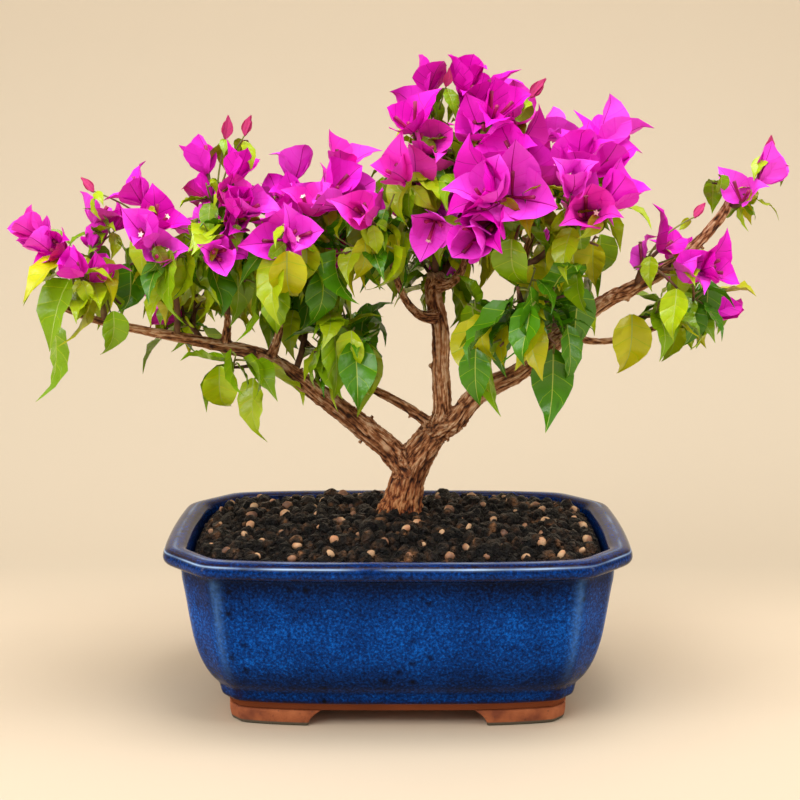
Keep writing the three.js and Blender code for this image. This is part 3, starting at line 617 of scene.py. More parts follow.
limbs = {name: limb_through(rows) for name, rows in LIMB_ROWS.items()}
for name, (parent, t, end, wide, narrow) in SIDE_BRANCHES.items():
    start, leave = seat(limbs[parent], t, Vector(end), wide)
    bend = start + leave * (BRANCH_BEND * (start - Vector(end)).length)
    limbs[name] = Bent(start, bend, Vector(end), wide, narrow)
wood_mesh = [], []
for name, limb in limbs.items():
    sunk = (BRANCH_SINK, BRANCH_SWELL) if name in SIDE_BRANCHES else ()
    add_tube(wood_mesh, limb, LIMB_SIDES, max(6, int(limb.length / LIMB_STEP)), *sunk)
nubs = random.Random(SEED)
for limb in (limbs[name] for name in LIMB_ROWS if name != "trunk"):
    for k in range(int(limb.length / NUB_EVERY)):
        t = min(1, (k + nubs.random()) * NUB_EVERY / limb.length)
        along, turn, lean = limb.heading(t), ANY_TURN * nubs.random(), nubs.random()
        across = along.orthogonal().normalized()
        out = way_out(across, along.cross(across), turn)
        root = limb.place(t) + out * (limb.radius(t) - 1)
        wide = NUB_LEAST + NUB_MORE * limb.radius(t)
        end = root + out * (NUB_LONG + wide) + along * lean
        add_tube(wood_mesh, Bent(root, root + out, end, wide, NUB_TIP * wide), *NUB_TUBE)
wood = piece("bark", *wood_mesh)
fuse = wood.modifiers.new("fuse", "REMESH")
fuse.mode, fuse.voxel_size = "VOXEL", BARK_VOXEL * MM
ease = wood.modifiers.new("ease", "SMOOTH")
ease.factor, ease.iterations = 0.5, 3
fused = as_mesh(wood)
wood.modifiers.clear()
wood.data = fused

spine, spine_rows = KDTree(4000), []
for name, limb in limbs.items():
    mean, shift = limb.heading(0.5), Vector((len(name) * 17.0, 0, 0))
    for k in range(int(limb.length / SPINE_STEP) + 1):
        t = min(1.0, SPINE_STEP * k / limb.length)
        spine.insert(limb.place(t), len(spine_rows))
        spine_rows.append((limb.place(t), limb.radius(t), SPINE_STEP * k, mean, limb.heading(t), shift))
spine.balance()
count = len(fused.vertices)
places, normals = np.empty(count * 3), np.empty(count * 3)
fused.vertices.foreach_get("co", places)
fused.vertices.foreach_get("normal", normals)
places, normals = places.reshape(-1, 3) / MM, normals.reshape(-1, 3)
fibre, relief = np.empty((count, 3)), np.empty(count)
for i, place in enumerate(places):
    place = Vector(place)
    centre, radius, along, mean, ahead, shift = spine_rows[spine.find(place)[1]]
    off = place - centre
    along += off.dot(ahead)
    off -= ahead * off.dot(ahead)
    grain = off + mean * (along * GRAIN_RUN) + shift
    finer = PLATE_SCALE + PLATE_FINER / (1 + radius)
    plates = min(1.0, PLATE_SHARP * abs(noise.noise(grain * finer)))
    flakes = min(1.0, FLAKE_SHARP * abs(noise.noise(grain * FLAKE_SCALE + FLAKE_SHIFT)))
    relief[i] = PLATES * plates + FLAKES * flakes + GRIT * noise.noise(place * GRIT_SCALE)
    deep = min(BARK_THICK, max(BARK_THIN, BARK_DEPTH * radius))
    lumps = BARK_LUMPS * radius * noise.noise(place * LUMP_SCALE)
    places[i] += normals[i] * (deep * (relief[i] - BARK_LEVEL) + lumps)
    fibre[i] = grain * FIBRE_SCALE
places[:, 2] = np.maximum(places[:, 2], BARK_FOOT)
fused.vertices.foreach_set("co", np.ravel(places * MM))
fused.polygons.foreach_set("use_smooth", [True] * len(fused.polygons))
fused.update()
sawn = np.zeros(count)
for name, deep in SAWN_ENDS.items():
    off = places - np.array(limbs[name].place(1))
    beyond = np.clip(off @ np.array(limbs[name].heading(1)) / deep + 1, 0, 1)
    sawn = np.maximum(sawn, beyond * (np.linalg.norm(off, axis=1) < 2 * limbs[name].radius(1)))
paint(wood, "relief", np.clip(relief, 0, 1))
paint(wood, "fibre", fibre, "FLOAT_VECTOR")
paint(wood, "sawn", sawn)

bark, tree, skin = new_finish("strip_bark", Roughness=0.88)
strands = cloud(tree, kept(tree, "fibre", "Vector"), 105.0, 4.0, 0.6)
# The colour follows the relief: darker in the fissures and paler on the ridges, partly the bark's own colour
# and partly painted shade and painted highlight
tone = maths(tree, "MULTIPLY_ADD", kept(tree, "relief"), 0.95,
             maths(tree, "MULTIPLY_ADD", strands, 1.7, -0.85, clamp=False))
colour = ramp(tree, tone, (0.06, rgb(56, 26, 10)), (0.26, rgb(118, 66, 30)), (0.5, rgb(172, 108, 62)),
              (0.72, rgb(206, 148, 102)), (0.94, rgb(232, 192, 152)))
rusty = ramp(tree, tone, (0.1, rgb(48, 18, 6)), (0.32, rgb(108, 46, 14)), (0.54, rgb(166, 82, 30)),
             (0.85, rgb(222, 146, 84)))
low_down = between(tree, own_axis(tree, 2), RUST_TOP * MM, RUST_FOOT * MM, 0.0, 0.85)
colour = blend(tree, low_down, colour, rusty)
fresh = maths(tree, "MULTIPLY", kept(tree, "sawn"), maths(tree, "MULTIPLY_ADD", strands, 1.6, 0.1))
tree.links.new(blend(tree, fresh, colour, rgb(216, 176, 140)), skin.inputs["Base Color"])
roughen(tree, skin, strands, 1.0, 0.003)
wood.data.materials.append(bark)
fit(wood, "bark", "trunk", "bough_left", "bough_inner_left", "bough_upright", "bough_right",
    *("branch_" + name for name in SIDE_BRANCHES))

# Sprays: each mass grows from one stem on a limb, whose first shoot leads and carries the others.
# Finer twigs leave every shoot; the shoots are woody and brown, and the twigs are young and green.
# A row gives a mass's name, its limb and place, the bracts' length, and the ends in blossom and in leaf.
MASSES = [
    ("left_tip", "left", 0.88, 27, [(-192, -22, 261), (-168, -36, 240), (-166, -4, 266)],
     [(-192, -14, 215), (-150, -16, 223), (-174, -26, 234)]),
    ("left_outer", "left", 0.72, 29, [(-137, -20, 278), (-129, -40, 258)],
     [(-114, -36, 254), (-146, -8, 244), (-118, 2, 252)]),
    ("left_high", "left_stub", 1, 29, [(-104, 4, 294), (-88, -14, 290), (-82, -34, 274), (-96, -48, 252)],
     [(-106, -22, 250), (-82, -24, 236)]),
    ("left_back", "left", 0.66, 29, [(-132, 34, 216), (-108, 54, 268)], [(-92, 42, 252), (-130, 62, 246)]),
    ("left_low", "left", 0.53, 28, [], [(-76, -8, 184), (-98, -22, 190)]),
    ("centre_left", "left_riser", 1, 30, [(-56, 0, 290), (-46, -30, 272), (-56, -50, 260)],
     [(-58, -50, 250), (-62, -36, 238), (-74, -22, 262), (-42, -26, 240)]),
    ("centre_high", "inner_left", 1, 30, [(-30, 8, 296), (-36, -12, 284), (-40, 24, 246)],
     [(-22, 18, 268), (-48, 34, 254)]),
    ("centre_front", "upright_left", 1, 31, [(-14, -48, 270)], [(-28, -36, 252), (-8, -36, 256)]),
    ("centre_low", "inner_left", 0.6, 28, [],
     [(-24, -18, 208), (-40, -20, 214), (-46, -8, 196), (-18, 2, 196), (-30, 48, 206)]),
    ("top_left", "upright", 1, 32, [(16, 0, 338), (8, -22, 316), (4, -34, 290), (20, -26, 268)],
     [(-4, 12, 292), (12, 24, 300)]),
    ("top", "upright_right", 1, 33, [(36, -2, 338), (50, -22, 322), (64, 6, 320), (80, 12, 312)],
     [(54, 6, 292), (36, -28, 280)]),
    ("right_front", "riser", 1, 40, [(62, -34, 298), (50, -58, 284), (42, -60, 264)],
     [(60, -52, 258), (58, -28, 272)]),
    ("right_high", "riser", 0.72, 37, [(92, -50, 294), (106, -62, 278), (108, -16, 306)],
     [(106, -34, 256), (120, -16, 274), (88, -28, 262)]),
    ("right_low", "riser", 0.25, 30, [],
     [(62, -56, 236), (54, -46, 204), (84, -38, 204), (40, -32, 216), (98, -36, 232)]),
    ("right_bough", "lower", 1, 27, [(178, 26, 212), (156, 14, 238)],
     [(128, 2, 214), (162, -2, 232), (168, 42, 226)]),
    ("right_outer", "right", 0.72, 30, [(140, -18, 252), (163, -26, 242)],
     [(126, -30, 244), (150, -30, 232)]),
    ("right_tip", "right", 0.97, 28, [(196, -6, 288)], [(194, 8, 280), (172, 4, 288)]),
    ("centre_back", "upright", 0.62, 30, [(24, 50, 240), (8, 60, 280)], [(-4, 54, 262), (38, 60, 262)]),
    ("right_back", "right", 0.42, 31, [(96, 42, 230), (80, 42, 258), (104, 60, 282)],
     [(114, 48, 256), (84, 66, 252)]),
    ("back_high", "upright", 0.8, 32, [(46, 46, 298), (64, 58, 276), (20, 40, 304)],
     [(36, 62, 290), (56, 34, 276)]),
    ("back_left", "left", 0.4, 30, [(-62, 52, 270), (-36, 60, 262)], [(-50, 62, 248), (-78, 54, 244)]),
]
UP = Vector((0, 0, 1))
STEM_RADIUS, SHOOT_RADIUS, TWIG_RADIUS, TIP_SHARE, STEM_SINK = 1.9, 1.15, 0.75, 0.55, -1.2
LEADER_BARE, SHOOT_BARE, TWIG_BARE, SHOOT_TUBE, TWIG_TUBE = 0.3, 0.2, 0.15, (7, 9, 1.5), (5, 5, 0.8)
SHOOT_BEND, FORK_START, FORK_RUN, FORK_LEAN = 0.45, 0.25, 0.5, 0.25
CROWN_SPAN, CROWN_DEPTH, CROWN_TOP, CROWN_LOW = 218.0, 94.0, 360.0, 132.0
SKY = [((-6, -60, 140), (17, 60, 203)), ((-62, -60, 120), (-30, 60, 156)), ((96, -60, 120), (216, 60, 174)),
       ((110, -80, 216), (126, 20, 262))]
EYE = Vector((0, -942, 319))
BARE_WOOD = [("trunk", 0, 1), ("left", 0.1, 0.72), ("upright", 0.1, 0.75), ("right", 0.02, 0.2),
             ("right", 0.5, 1), ("inner_left", 0.05, 0.3)]
TWIG_EVERY, TWIG_LENGTH, TWIG_LIFT, TWIG_MARGIN, NEXT_TURN = 15.0, (11.0, 22.0), 3, 3, 2.4
TWIG_START, TWIG_RUN, TWIG_STRAY, TWIG_SHARE, TWIG_RISE, TWIG_AHEAD = 0.32, 0.56, 0.6, 0.7, 0.35, 0.6
BLOOM_FROM, VEIL_MARGIN = 0.6, 1
CLOSE_SET = {"centre_low": 8.0, "centre_front": 8.0, "centre_high": 11.0, "right_low": 11.0}


class Shoot(Bent):
    """A twig that bends once on its way, whether it ends in blossom, and how much of it is bare"""

    def __init__(self, start, leave, end, wide, blooms, bare):
        super().__init__(start, start + leave * (SHOOT_BEND * (end - start).length), end, wide,
                         wide * TIP_SHARE)
        self.blooms, self.bare = blooms, bare


def in_crown(p):
    """Inside the crown's reach and out of the gaps where sky shows"""
    if abs(p.x) > CROWN_SPAN or abs(p.y) > CROWN_DEPTH or not CROWN_LOW < p.z < CROWN_TOP:
        return False
    return not any(all(a < v < b for a, v, b in zip(low, p, high)) for low, high in SKY)


def off_wood(p, margin):
    """Clear of every limb's bark by a margin"""
    _, i, gap = spine.find(p)
    return gap > spine_rows[i][1] + margin


def from_show_side(p):
    """Where a point is seen on the crown's middle plane"""
    share = EYE.y / (EYE.y - p.y)
    return Vector((EYE.x + (p.x - EYE.x) * share, 0, EYE.z + (p.z - EYE.z) * share))


bare_wood, bare_rows = KDTree(2000), []
for name, low, high in BARE_WOOD:
    for t in np.linspace(low, high, 120):
        place = limbs[name].place(t)
        bare_wood.insert(from_show_side(place), len(bare_rows))
        bare_rows.append((place.y, limbs[name].radius(t)))
bare_wood.balance()


def veils(p):
    """Hangs before a stretch of bough that is bare on the show side"""
    _, i, gap = bare_wood.find(from_show_side(p))
    return p.y < bare_rows[i][0] and gap < bare_rows[i][1] + VEIL_MARGIN


def shoots_of(limb, at, blossom, leafy):
    """The leader and the shoots that leave it one after another"""
    ends = [(Vector(p), True) for p in blossom] + [(Vector(p), False) for p in leafy]
    start, leave = seat(limbs[limb], at, ends[0][0], STEM_RADIUS, STEM_SINK)
    leader = Shoot(start, leave, ends[0][0], STEM_RADIUS, ends[0][1], LEADER_BARE)
    shoots = [leader]
    for i, (end, blooms) in enumerate(ends[1:], 1):
        fork = FORK_START + FORK_RUN * i / len(ends)
        origin = leader.place(fork)
        leave = ((end - origin).normalized() + leader.heading(fork) * FORK_LEAN).normalized()
        shoots.append(Shoot(origin, leave, end, SHOOT_RADIUS, blooms, SHOOT_BARE))
    return shoots


def finer_twigs(shoot, every, roll):
    """Short twigs that leave a shoot by turns and lift towards the light"""
    twigs = []
    count = int(shoot.length * TWIG_SHARE / every)
    turn = ANY_TURN * roll.random()
    for k in range(count):
        t = TWIG_START + TWIG_RUN * (k + roll.random() * TWIG_STRAY) / max(1, count)
        turn += NEXT_TURN
        ahead = shoot.heading(t)
        out = Vector((math.cos(turn), math.sin(turn), TWIG_RISE))
        out = (out - ahead * (out.dot(ahead) - TWIG_AHEAD)).normalized()
        start = shoot.place(t)
        end = start + out * roll.uniform(*TWIG_LENGTH) + UP * TWIG_LIFT
        if in_crown(end) and off_wood(end, TWIG_MARGIN):
            blooms = shoot.blooms and t > BLOOM_FROM
            twigs.append(Shoot(start, out, end, TWIG_RADIUS, blooms, TWIG_BARE))
    return twigs


woody = clouded("twig_bark", 160.0, (0.34, rgb(74, 44, 32)), (0.55, rgb(116, 76, 54)),
                (0.7, rgb(128, 104, 62)), grain=0.5, depth=0.0005, Roughness=0.75)
young = clouded("young_stem", 120.0, (0.35, rgb(112, 92, 44)), (0.6, rgb(128, 140, 54)), Roughness=0.55)
woody_mesh, green_mesh, sprays = ([], []), ([], []), []
for i, (name, limb, at, size, blossom, leafy) in enumerate(MASSES):
    roll = random.Random(SEED * 7 + i)
    shoots = shoots_of(limb, at, blossom, leafy)
    twigs = [finer_twigs(shoot, CLOSE_SET.get(name, TWIG_EVERY), roll) for shoot in shoots]
    for shoot in shoots:
        add_tube(woody_mesh, shoot, *SHOOT_TUBE)
    twigs = list(itertools.chain(*twigs))
    for twig in twigs:
        add_tube(green_mesh, twig, *TWIG_TUBE)
    sprays.append((name, size, shoots, twigs))

# Bracts: papery magenta leaves in threes round each head, veined, cupped at the base and drawn out
# to a point. Every bract carries a slim tube flower on its midrib; unopened heads are closed buds.
BRACT_EDGE = ([0.0, 0.05, 0.13, 0.25, 0.4, 0.55, 0.7, 0.83, 0.93, 1.0],
              [0.1, 0.42, 0.74, 0.95, 1.0, 0.9, 0.67, 0.38, 0.14, 0.01])
BRACT_WIDTH, BRACT_OPEN, BRACT_SCALE, HEADS_BACK = 0.78, (32, 56), 0.79, (0.0, 13.0)
BRACT_SIZES, BRACT_GROWN, BRACT_CROWDED, BRACT_SHY, TWIG_HEADS = (0.86, 0.28), 1.04, 6, 0.8, 0.3
FULL_TURN, THIRD_TURN, RIB = 6.28319, 2.1, 0.035
HEAD_LOWEST, HEAD_TIP, HEAD_LIFT, TIP_LEAN, SIDE_LEAN, TWIG_BRACTS = 0.3, 0.98, 0.3, 0.35, 1.2, 0.9
TUBE_WIDE, TUBE_REACH, FLOWER_TUBE, BUD_TUBE = (0.6, 1.15), (0.42, 0.62), (5, 4), (5, 8)
STAR_REACH, STAR_SHARE, BRACT_FREE = 1.9, 0.12, 0.5
VEINS, VEIN_WIDE, VEIN_SLANT = (0.13, 0.3, 0.5), 0.008, 0.85
PLAIN, MIDRIB, SIDE_VEIN = 0, 1, 2
BLADE_ROWS = sorted([0.0, 0.05, 0.21, 0.4, 0.62, 0.8, 1.0, *VEINS, *(v + VEIN_WIDE for v in VEINS)])
ACROSS = (-1.0, -0.55, -RIB, RIB, 0.55, 1.0)
BLADE_SPOTS = ((0.34, 0.45), (0.48, 0.48), (0.62, 0.4), (0.76, 0.26), (0.9, 0.1))
CELL, BLADE_MARGIN = 3.2, 1.2
BUDS = [("left_outer", (-164, -14, 284)), ("left_high", (-82, -10, 314)), ("left_high", (-94, 4, 312)),
        ("right_outer", (161, -10, 270)), ("right_tip", (200, -4, 303)), ("top", (72, -4, 334)),
        ("top_left", (26, -10, 340))]
BUD_FORK, BUD_LENGTH, BUD_MORE = 0.6, 11, 1.5


def blade(edge, width, fold, cup, curl, flick, wave, twist, pucker, seed):
    """A leaf-like blade one long: points, faces and whether a face is plain, midrib or side vein"""
    phase = ANY_TURN * random.Random(seed).random()
    points = []
    for row, share in itertools.product(BLADE_ROWS, ACROSS):
        sunk = any(abs(row - v) < 1.1 * VEIN_WIDE for v in VEINS)
        u = row + VEIN_SLANT * abs(share) * row * (1 - row)
        rib = (RIB * (1 - 0.8 * u) + 0.003) * width / 2
        half = max(float(np.interp(u, *edge)) * width / 2, 1.2 * rib)
        y = share * half if abs(share) > RIB else math.copysign(rib, share)
        side = 2 * abs(y) / width
        bend = curl * u
        z = fold * abs(y) + cup * y * y / width - (1 - math.cos(bend)) / curl - flick * max(0, u - 0.65) ** 2
        z += wave * side * (math.sin(8 * u + phase + math.copysign(0.9, y)) + 0.6 * math.sin(17 * u - phase))
        z += pucker * (-1 if sunk else 1) * side * (1 - side) * 4
        turn = twist * (u - 0.3)
        points.append((math.sin(bend) / curl, y * math.cos(turn) - z * math.sin(turn),
                       z * math.cos(turn) + y * math.sin(turn)))
    wide = len(ACROSS)
    corners = [(i * wide + j, i, j) for i in range(len(BLADE_ROWS) - 1) for j in range(wide - 1)]
    faces = [(a + 1, a + 1 + wide, a + wide, a) for a, i, j in corners]
    kinds = [MIDRIB if j == 2 else SIDE_VEIN if BLADE_ROWS[i] in VEINS else PLAIN for a, i, j in corners]
    return np.array(points), np.array(faces), np.array(kinds)


class Growth:
    """Blades of one kind, collected into a joined mesh"""

    def __init__(self):
        self.points, self.faces, self.tints, self.count = [], [], [], 0

    def add(self, shape, root, heading, face, length, *tints):
        points, faces, kinds = shape
        turn = np.array([heading, face.cross(heading), face])
        self.points.append(points @ turn * length + np.array(root))
        self.faces.append(faces + self.count)
        self.tints.append(np.array(tints)[kinds])
        self.count += len(points)

    def made(self, name, *finishes):
        made = piece(name, np.concatenate(self.points), np.concatenate(self.faces).tolist(), *finishes)
        made.data.polygons.foreach_set("material_index", np.concatenate(self.tints).astype(np.int32))
        return made


# What already fills the crown, by small cells, so that blades don't cut through one another
filled = {}


def cell(p):
    """The small cell that a point lies in"""
    return (int(p.x // CELL), int(p.y // CELL), int(p.z // CELL))


def takes_room(root, heading, face, length, width, first, own, allowed, shy):
    """Takes a blade's cells if it is in the crown, off the wood and most others, and veils no bough"""
    aside = face.cross(heading)
    places = [root + heading * (u * length) + aside * (side * wide * width)
              for u, wide in BLADE_SPOTS if u >= first for side in (-1, -0.5, 0, 0.5, 1)]
    if any(not in_crown(p) or not off_wood(p, BLADE_MARGIN) or (shy and veils(p)) for p in places):
        return False
    if sum(filled.get(cell(p), own) != own for p in places) > allowed:
        return False
    filled.update((cell(p), own) for p in places)
    return True


def blades(edge, width, pucker, seed, rows):
    """A few shapes of one kind of blade"""
    return [blade(edge, width, *row, pucker, seed + k) for k, row in enumerate(rows)]


def tinted(scale, darkest, tints, **constants):
    """A finish for each tint, drifting to a darker one"""
    return [clouded(name, scale, (0.0, shade), (1.0, tuple(v * darkest for v in shade[:3]) + (1.0,)),
                    grain=0.25, **constants) for name, shade in tints]


BRACT_SHAPES = blades(BRACT_EDGE, BRACT_WIDTH, 0.016, 0, [
    (0.1, 1.3, -0.9, 1.6, 0.02, 0.1), (0.2, 0.7, -0.4, 2.2, 0.03, -0.25), (0.05, 1.7, -1.2, 1.2, 0.018, 0.3),
    (0.3, 0.5, 0.3, 1.0, 0.035, 0.0), (0.1, 1.0, -0.7, 3.0, 0.03, -0.4), (0.0, 1.5, -0.5, 0.4, 0.04, 0.45)])
BUD_SHAPE = blade(BRACT_EDGE, 0.4, 0.2, 2.2, -0.5, 0.3, 0.01, 0.2, 0.01, 9)
BRACT_PICK, BRACT_BUD, BRACT_RIB, BRACT_VEINS = (0, 0, 1, 1, 2, 3), 4, 5, (2, 0, 5, 2)
bract_finishes = tinted(70.0, 0.888, [
    ("bract_magenta", rgb(250, 44, 224)), ("bract_bright", rgb(254, 76, 236)),
    ("bract_deep", rgb(238, 20, 204)), ("bract_pink", rgb(252, 60, 212)), ("bract_bud", rgb(206, 62, 122)),
    ("bract_vein", rgb(178, 10, 140))], Roughness=0.5, Specular_IOR_Level=0.2)
throat = clouded("flower_tube", 90.0, (0.35, rgb(120, 8, 60)), (0.65, rgb(176, 40, 96)), Roughness=0.5)
star = clouded("flower_star", 90.0, (0.35, rgb(240, 214, 190)), (0.65, rgb(250, 240, 214)), Roughness=0.6)
bracts, tubes_mesh, stars_mesh, heads = Growth(), ([], []), ([], []), []


def sides_of(axis):
    """Two ways square to an axis and to each other"""
    right = Vector((0, 1, 0)).cross(axis).normalized()
    return right, axis.cross(right)


def add_star(mesh, centre, axis):
    """Adds the pale five-lobed mouth of an open tube"""
    points, faces = mesh
    right = axis.orthogonal().normalized()
    over = axis.cross(right)
    first = len(points)
    points.append(centre - axis * 0.5)
    for k in range(10):
        reach = STAR_REACH * (0.5 if k % 2 else 1.0)
        points.append(centre + way_out(right, over, math.pi * k / 5) * reach)
        faces.append((first, first + 1 + k, first + 1 + (k + 1) % 10))


def bloom(shoot, back, size, roll, pick):
    """One head of three bracts on a shoot, at its tip or a little behind it"""
    t = max(HEAD_LOWEST, HEAD_TIP - back / shoot.length)
    lean, spin, opened = FULL_TURN * next(roll), FULL_TURN * next(roll), next(roll)
    aside = Vector((math.cos(lean), math.sin(lean), 0)) * (SIDE_LEAN if back else TIP_LEAN)
    axis = (shoot.heading(t) + UP * HEAD_LIFT + aside).normalized()
    right, over = sides_of(axis)
    tilt = math.radians(BRACT_OPEN[0] + (BRACT_OPEN[1] - BRACT_OPEN[0]) * opened)
    root = shoot.place(t)
    heads.append((root, axis, right, over))
    tint = pick.choice(BRACT_PICK)
    for k in range(3):
        out = way_out(right, over, spin + 2 * math.pi * k / 3)
        heading = axis * math.cos(tilt) + out * math.sin(tilt)
        face = square_to(heading, axis)
        length = size * BRACT_SCALE * (BRACT_SIZES[0] + BRACT_SIZES[1] * next(roll))
        if not takes_room(root, heading, face, length, length * BRACT_WIDTH, BRACT_FREE, -len(heads),
                          BRACT_CROWDED, pick.random() < BRACT_SHY):
            continue
        bracts.add(pick.choice(BRACT_SHAPES), root, heading, face, length * BRACT_GROWN, tint,
                   BRACT_RIB, BRACT_VEINS[tint])
        flower = (heading * 0.75 + axis * 0.4).normalized()
        end = root + flower * (length * pick.uniform(*TUBE_REACH)) + face * 2
        bend = root + heading * (length * 0.2) + face * 1.4
        add_tube(tubes_mesh, Bent(root + face * 0.6, bend, end, *TUBE_WIDE), *FLOWER_TUBE)
        if pick.random() < STAR_SHARE:
            add_star(stars_mesh, end + flower * 0.8, flower)


for i, (name, size, shoots, twigs) in enumerate(sprays):
    roll, pick = dice(SEED + i), random.Random(SEED + i)
    for shoot in shoots:
        if shoot.blooms:
            for back in HEADS_BACK:
                bloom(shoot, back, size, roll, pick)
    for twig in twigs:
        if twig.blooms and pick.random() < TWIG_HEADS:
            bloom(twig, 0.0, size * TWIG_BRACTS, roll, pick)
for k, (mass, tip) in enumerate(BUDS):
    leader = next(shoots[0] for name, size, shoots, twigs in sprays if name == mass)
    away = (leader.heading(BUD_FORK) + UP).normalized()
    stalk = Shoot(leader.place(BUD_FORK), away, Vector(tip), TWIG_RADIUS, True, LEADER_BARE)
    add_tube(green_mesh, stalk, *BUD_TUBE)
    axis = (stalk.heading(1) + UP * 0.8).normalized()
    right, over = sides_of(axis)
    heads.append((Vector(tip), axis, right, over))
    for j in range(3):
        out = way_out(right, over, THIRD_TURN * j + k)
        heading = (axis + out * 0.2).normalized()
        bracts.add(BUD_SHAPE, Vector(tip) - axis + out * 0.4, heading, square_to(heading, axis),
                   BUD_LENGTH + k % 3 * BUD_MORE, BRACT_BUD, BRACT_RIB, BRACT_RIB)
fit(bracts.made("bracts", *bract_finishes), "blossom", *("foliage_" + row[0] for row in MASSES if row[4]))
fit(piece("flower_tubes", *tubes_mesh, throat), "blossom")
fit(piece("flower_stars", *stars_mesh, star), "blossom")

# Leaves: thin ovals drawn out to a point, folded a little along a pale midrib and hanging from short
# stalks, by turns round each shoot. Small young ones stand round each head of bracts.
LEAF_EDGE = ([0.0, 0.06, 0.15, 0.28, 0.43, 0.58, 0.73, 0.87, 1.0],
             [0.1, 0.48, 0.8, 0.98, 1.0, 0.83, 0.53, 0.2, 0.012])
LEAF_WIDTH, LEAF_STEP, LEAF_LARGEST, LEAF_HANG, LEAF_SHY, LEAF_GROWN = 0.55, 6.0, 38.0, 0.8, 0.88, 1.06
LEAF_FREE, LEAF_CROWDED, YOUNG_CROWDED, YOUNG_LENGTH, YOUNG_BACK = 0.3, 5, 6, (9, 19), (1, 6)
LAST_LEAF, LAST_BELOW_HEAD, LEAF_BY_HEAD, END_LEAF, SAME_TINT = 0.97, 0.82, 0.75, 0.88, 0.7
LEAF_SIZES, SIZE_CURVE, TWIG_STEP, TWIG_LARGEST = (0.55, 0.45), 1.4, 0.8, 0.75
STALK, STALK_BEND, STALK_END, STALK_WIDE, STALK_TUBE = 5.0 / 32, 5.0 / 60, 0.06, (0.65, 0.5), (4, 2)
LEAF_SHAPES = blades(LEAF_EDGE, LEAF_WIDTH, 0.026, 40, [
    (0.75, -1.0, 0.8, 0.4, 0.02, 0.15), (0.95, -0.9, 1.3, 0.3, 0.03, -0.4),
    (0.6, -0.9, 0.5, 1.4, 0.025, 0.4), (1.0, -0.7, 1.8, 0.2, 0.025, 0.5),
    (0.5, -1.1, 1.1, 0.8, 0.035, -0.5), (0.8, -0.6, -0.35, 1.8, 0.035, 0.25)])
LEAF_RIB, LEAF_VEINS = 4, (2, 0, 3, 2)
PALETTE, YOUNG_PALETTE = (0, 0, 2, 2, 3, 1, 2), (0, 2, 2, 0)
PALETTES = {"left_tip": (2, 3, 0, 2), "left_low": (2, 0, 3, 1), "centre_low": (1, 0, 0, 2),
            "right_low": (1, 0, 3, 1), "right_bough": (0, 2, 1, 0, 3), "right_outer": (2, 0, 3, 2),
            "right_tip": (3, 2, 0, 2)}
OPEN_SET = {"left_tip": 12.0, "left_outer": 7.5, "left_high": 7.5, "left_back": 8.0, "right_high": 11.0,
            "right_front": 9.0, "right_outer": 9.0, "right_back": 9.0}
SHY = {"centre_low": 0.4, "centre_left": 0.7, "right_low": 0.6}
LARGEST = {"centre_low": 42.0, "right_low": 46.0, "right_outer": 30.0, "right_tip": 21.0,
           "left_tip": 40.0}
leaf_finishes = tinted(60.0, 0.74, [
    ("leaf_mid", rgb(138, 180, 14)), ("leaf_dark", rgb(80, 142, 12)), ("leaf_light", rgb(178, 204, 18)),
    ("leaf_lime", rgb(206, 206, 16)), ("leaf_midrib", rgb(180, 200, 78))],
    Roughness=0.26, Specular_IOR_Level=0.4)
leaves, leaf_marks = Growth(), itertools.count(1)


def grow_leaves(shoot, name, step, largest, roll):
    """Leaves along a shoot, each where it finds room"""
    count = max(2, round(shoot.length * (1 - shoot.bare) / step))
    first = ANY_TURN * roll.random()
    palette = PALETTES.get(name, PALETTE)
    tint = roll.choice(palette)
    for k in range(count):
        last = k == count - 1 and not shoot.blooms
        end = LAST_BELOW_HEAD if shoot.blooms else LAST_LEAF
        t = shoot.bare + (end - shoot.bare) * k / (count - 1)
        along = shoot.heading(t)
        angle = first + k * NEXT_TURN + 0.6 * (roll.random() - 0.5)
        out = Vector((math.cos(angle), math.sin(angle), 0.2))
        out = (out + along * (0.25 - out.dot(along))).normalized()
        droop = 0.9 if last else LEAF_HANG * roll.random()
        heading = (out * (1 - 0.8 * droop) - UP * (0.1 + droop)).normalized()
        face = square_to(heading, UP + out * 0.7)
        length = largest * (LEAF_SIZES[0] + LEAF_SIZES[1] * roll.random() ** SIZE_CURVE)
        if shoot.blooms and t > BLOOM_FROM:
            length *= LEAF_BY_HEAD
        if last:
            length = max(length, END_LEAF * largest)
        root = shoot.place(t)
        foot = root + out * (STALK * length)
        if not takes_room(foot, heading, face, length, length * LEAF_WIDTH, LEAF_FREE, next(leaf_marks),
                          LEAF_CROWDED, roll.random() < SHY.get(name, LEAF_SHY)):
            continue
        shade = tint if roll.random() < SAME_TINT else roll.choice(palette)
        leaves.add(roll.choice(LEAF_SHAPES), foot, heading, face, length * LEAF_GROWN, shade, LEAF_RIB,
                   LEAF_VEINS[shade])
        bend, tip = root + out * (STALK_BEND * length), foot + heading * (STALK_END * length)
        add_tube(green_mesh, Bent(root, bend, tip, *STALK_WIDE), *STALK_TUBE)


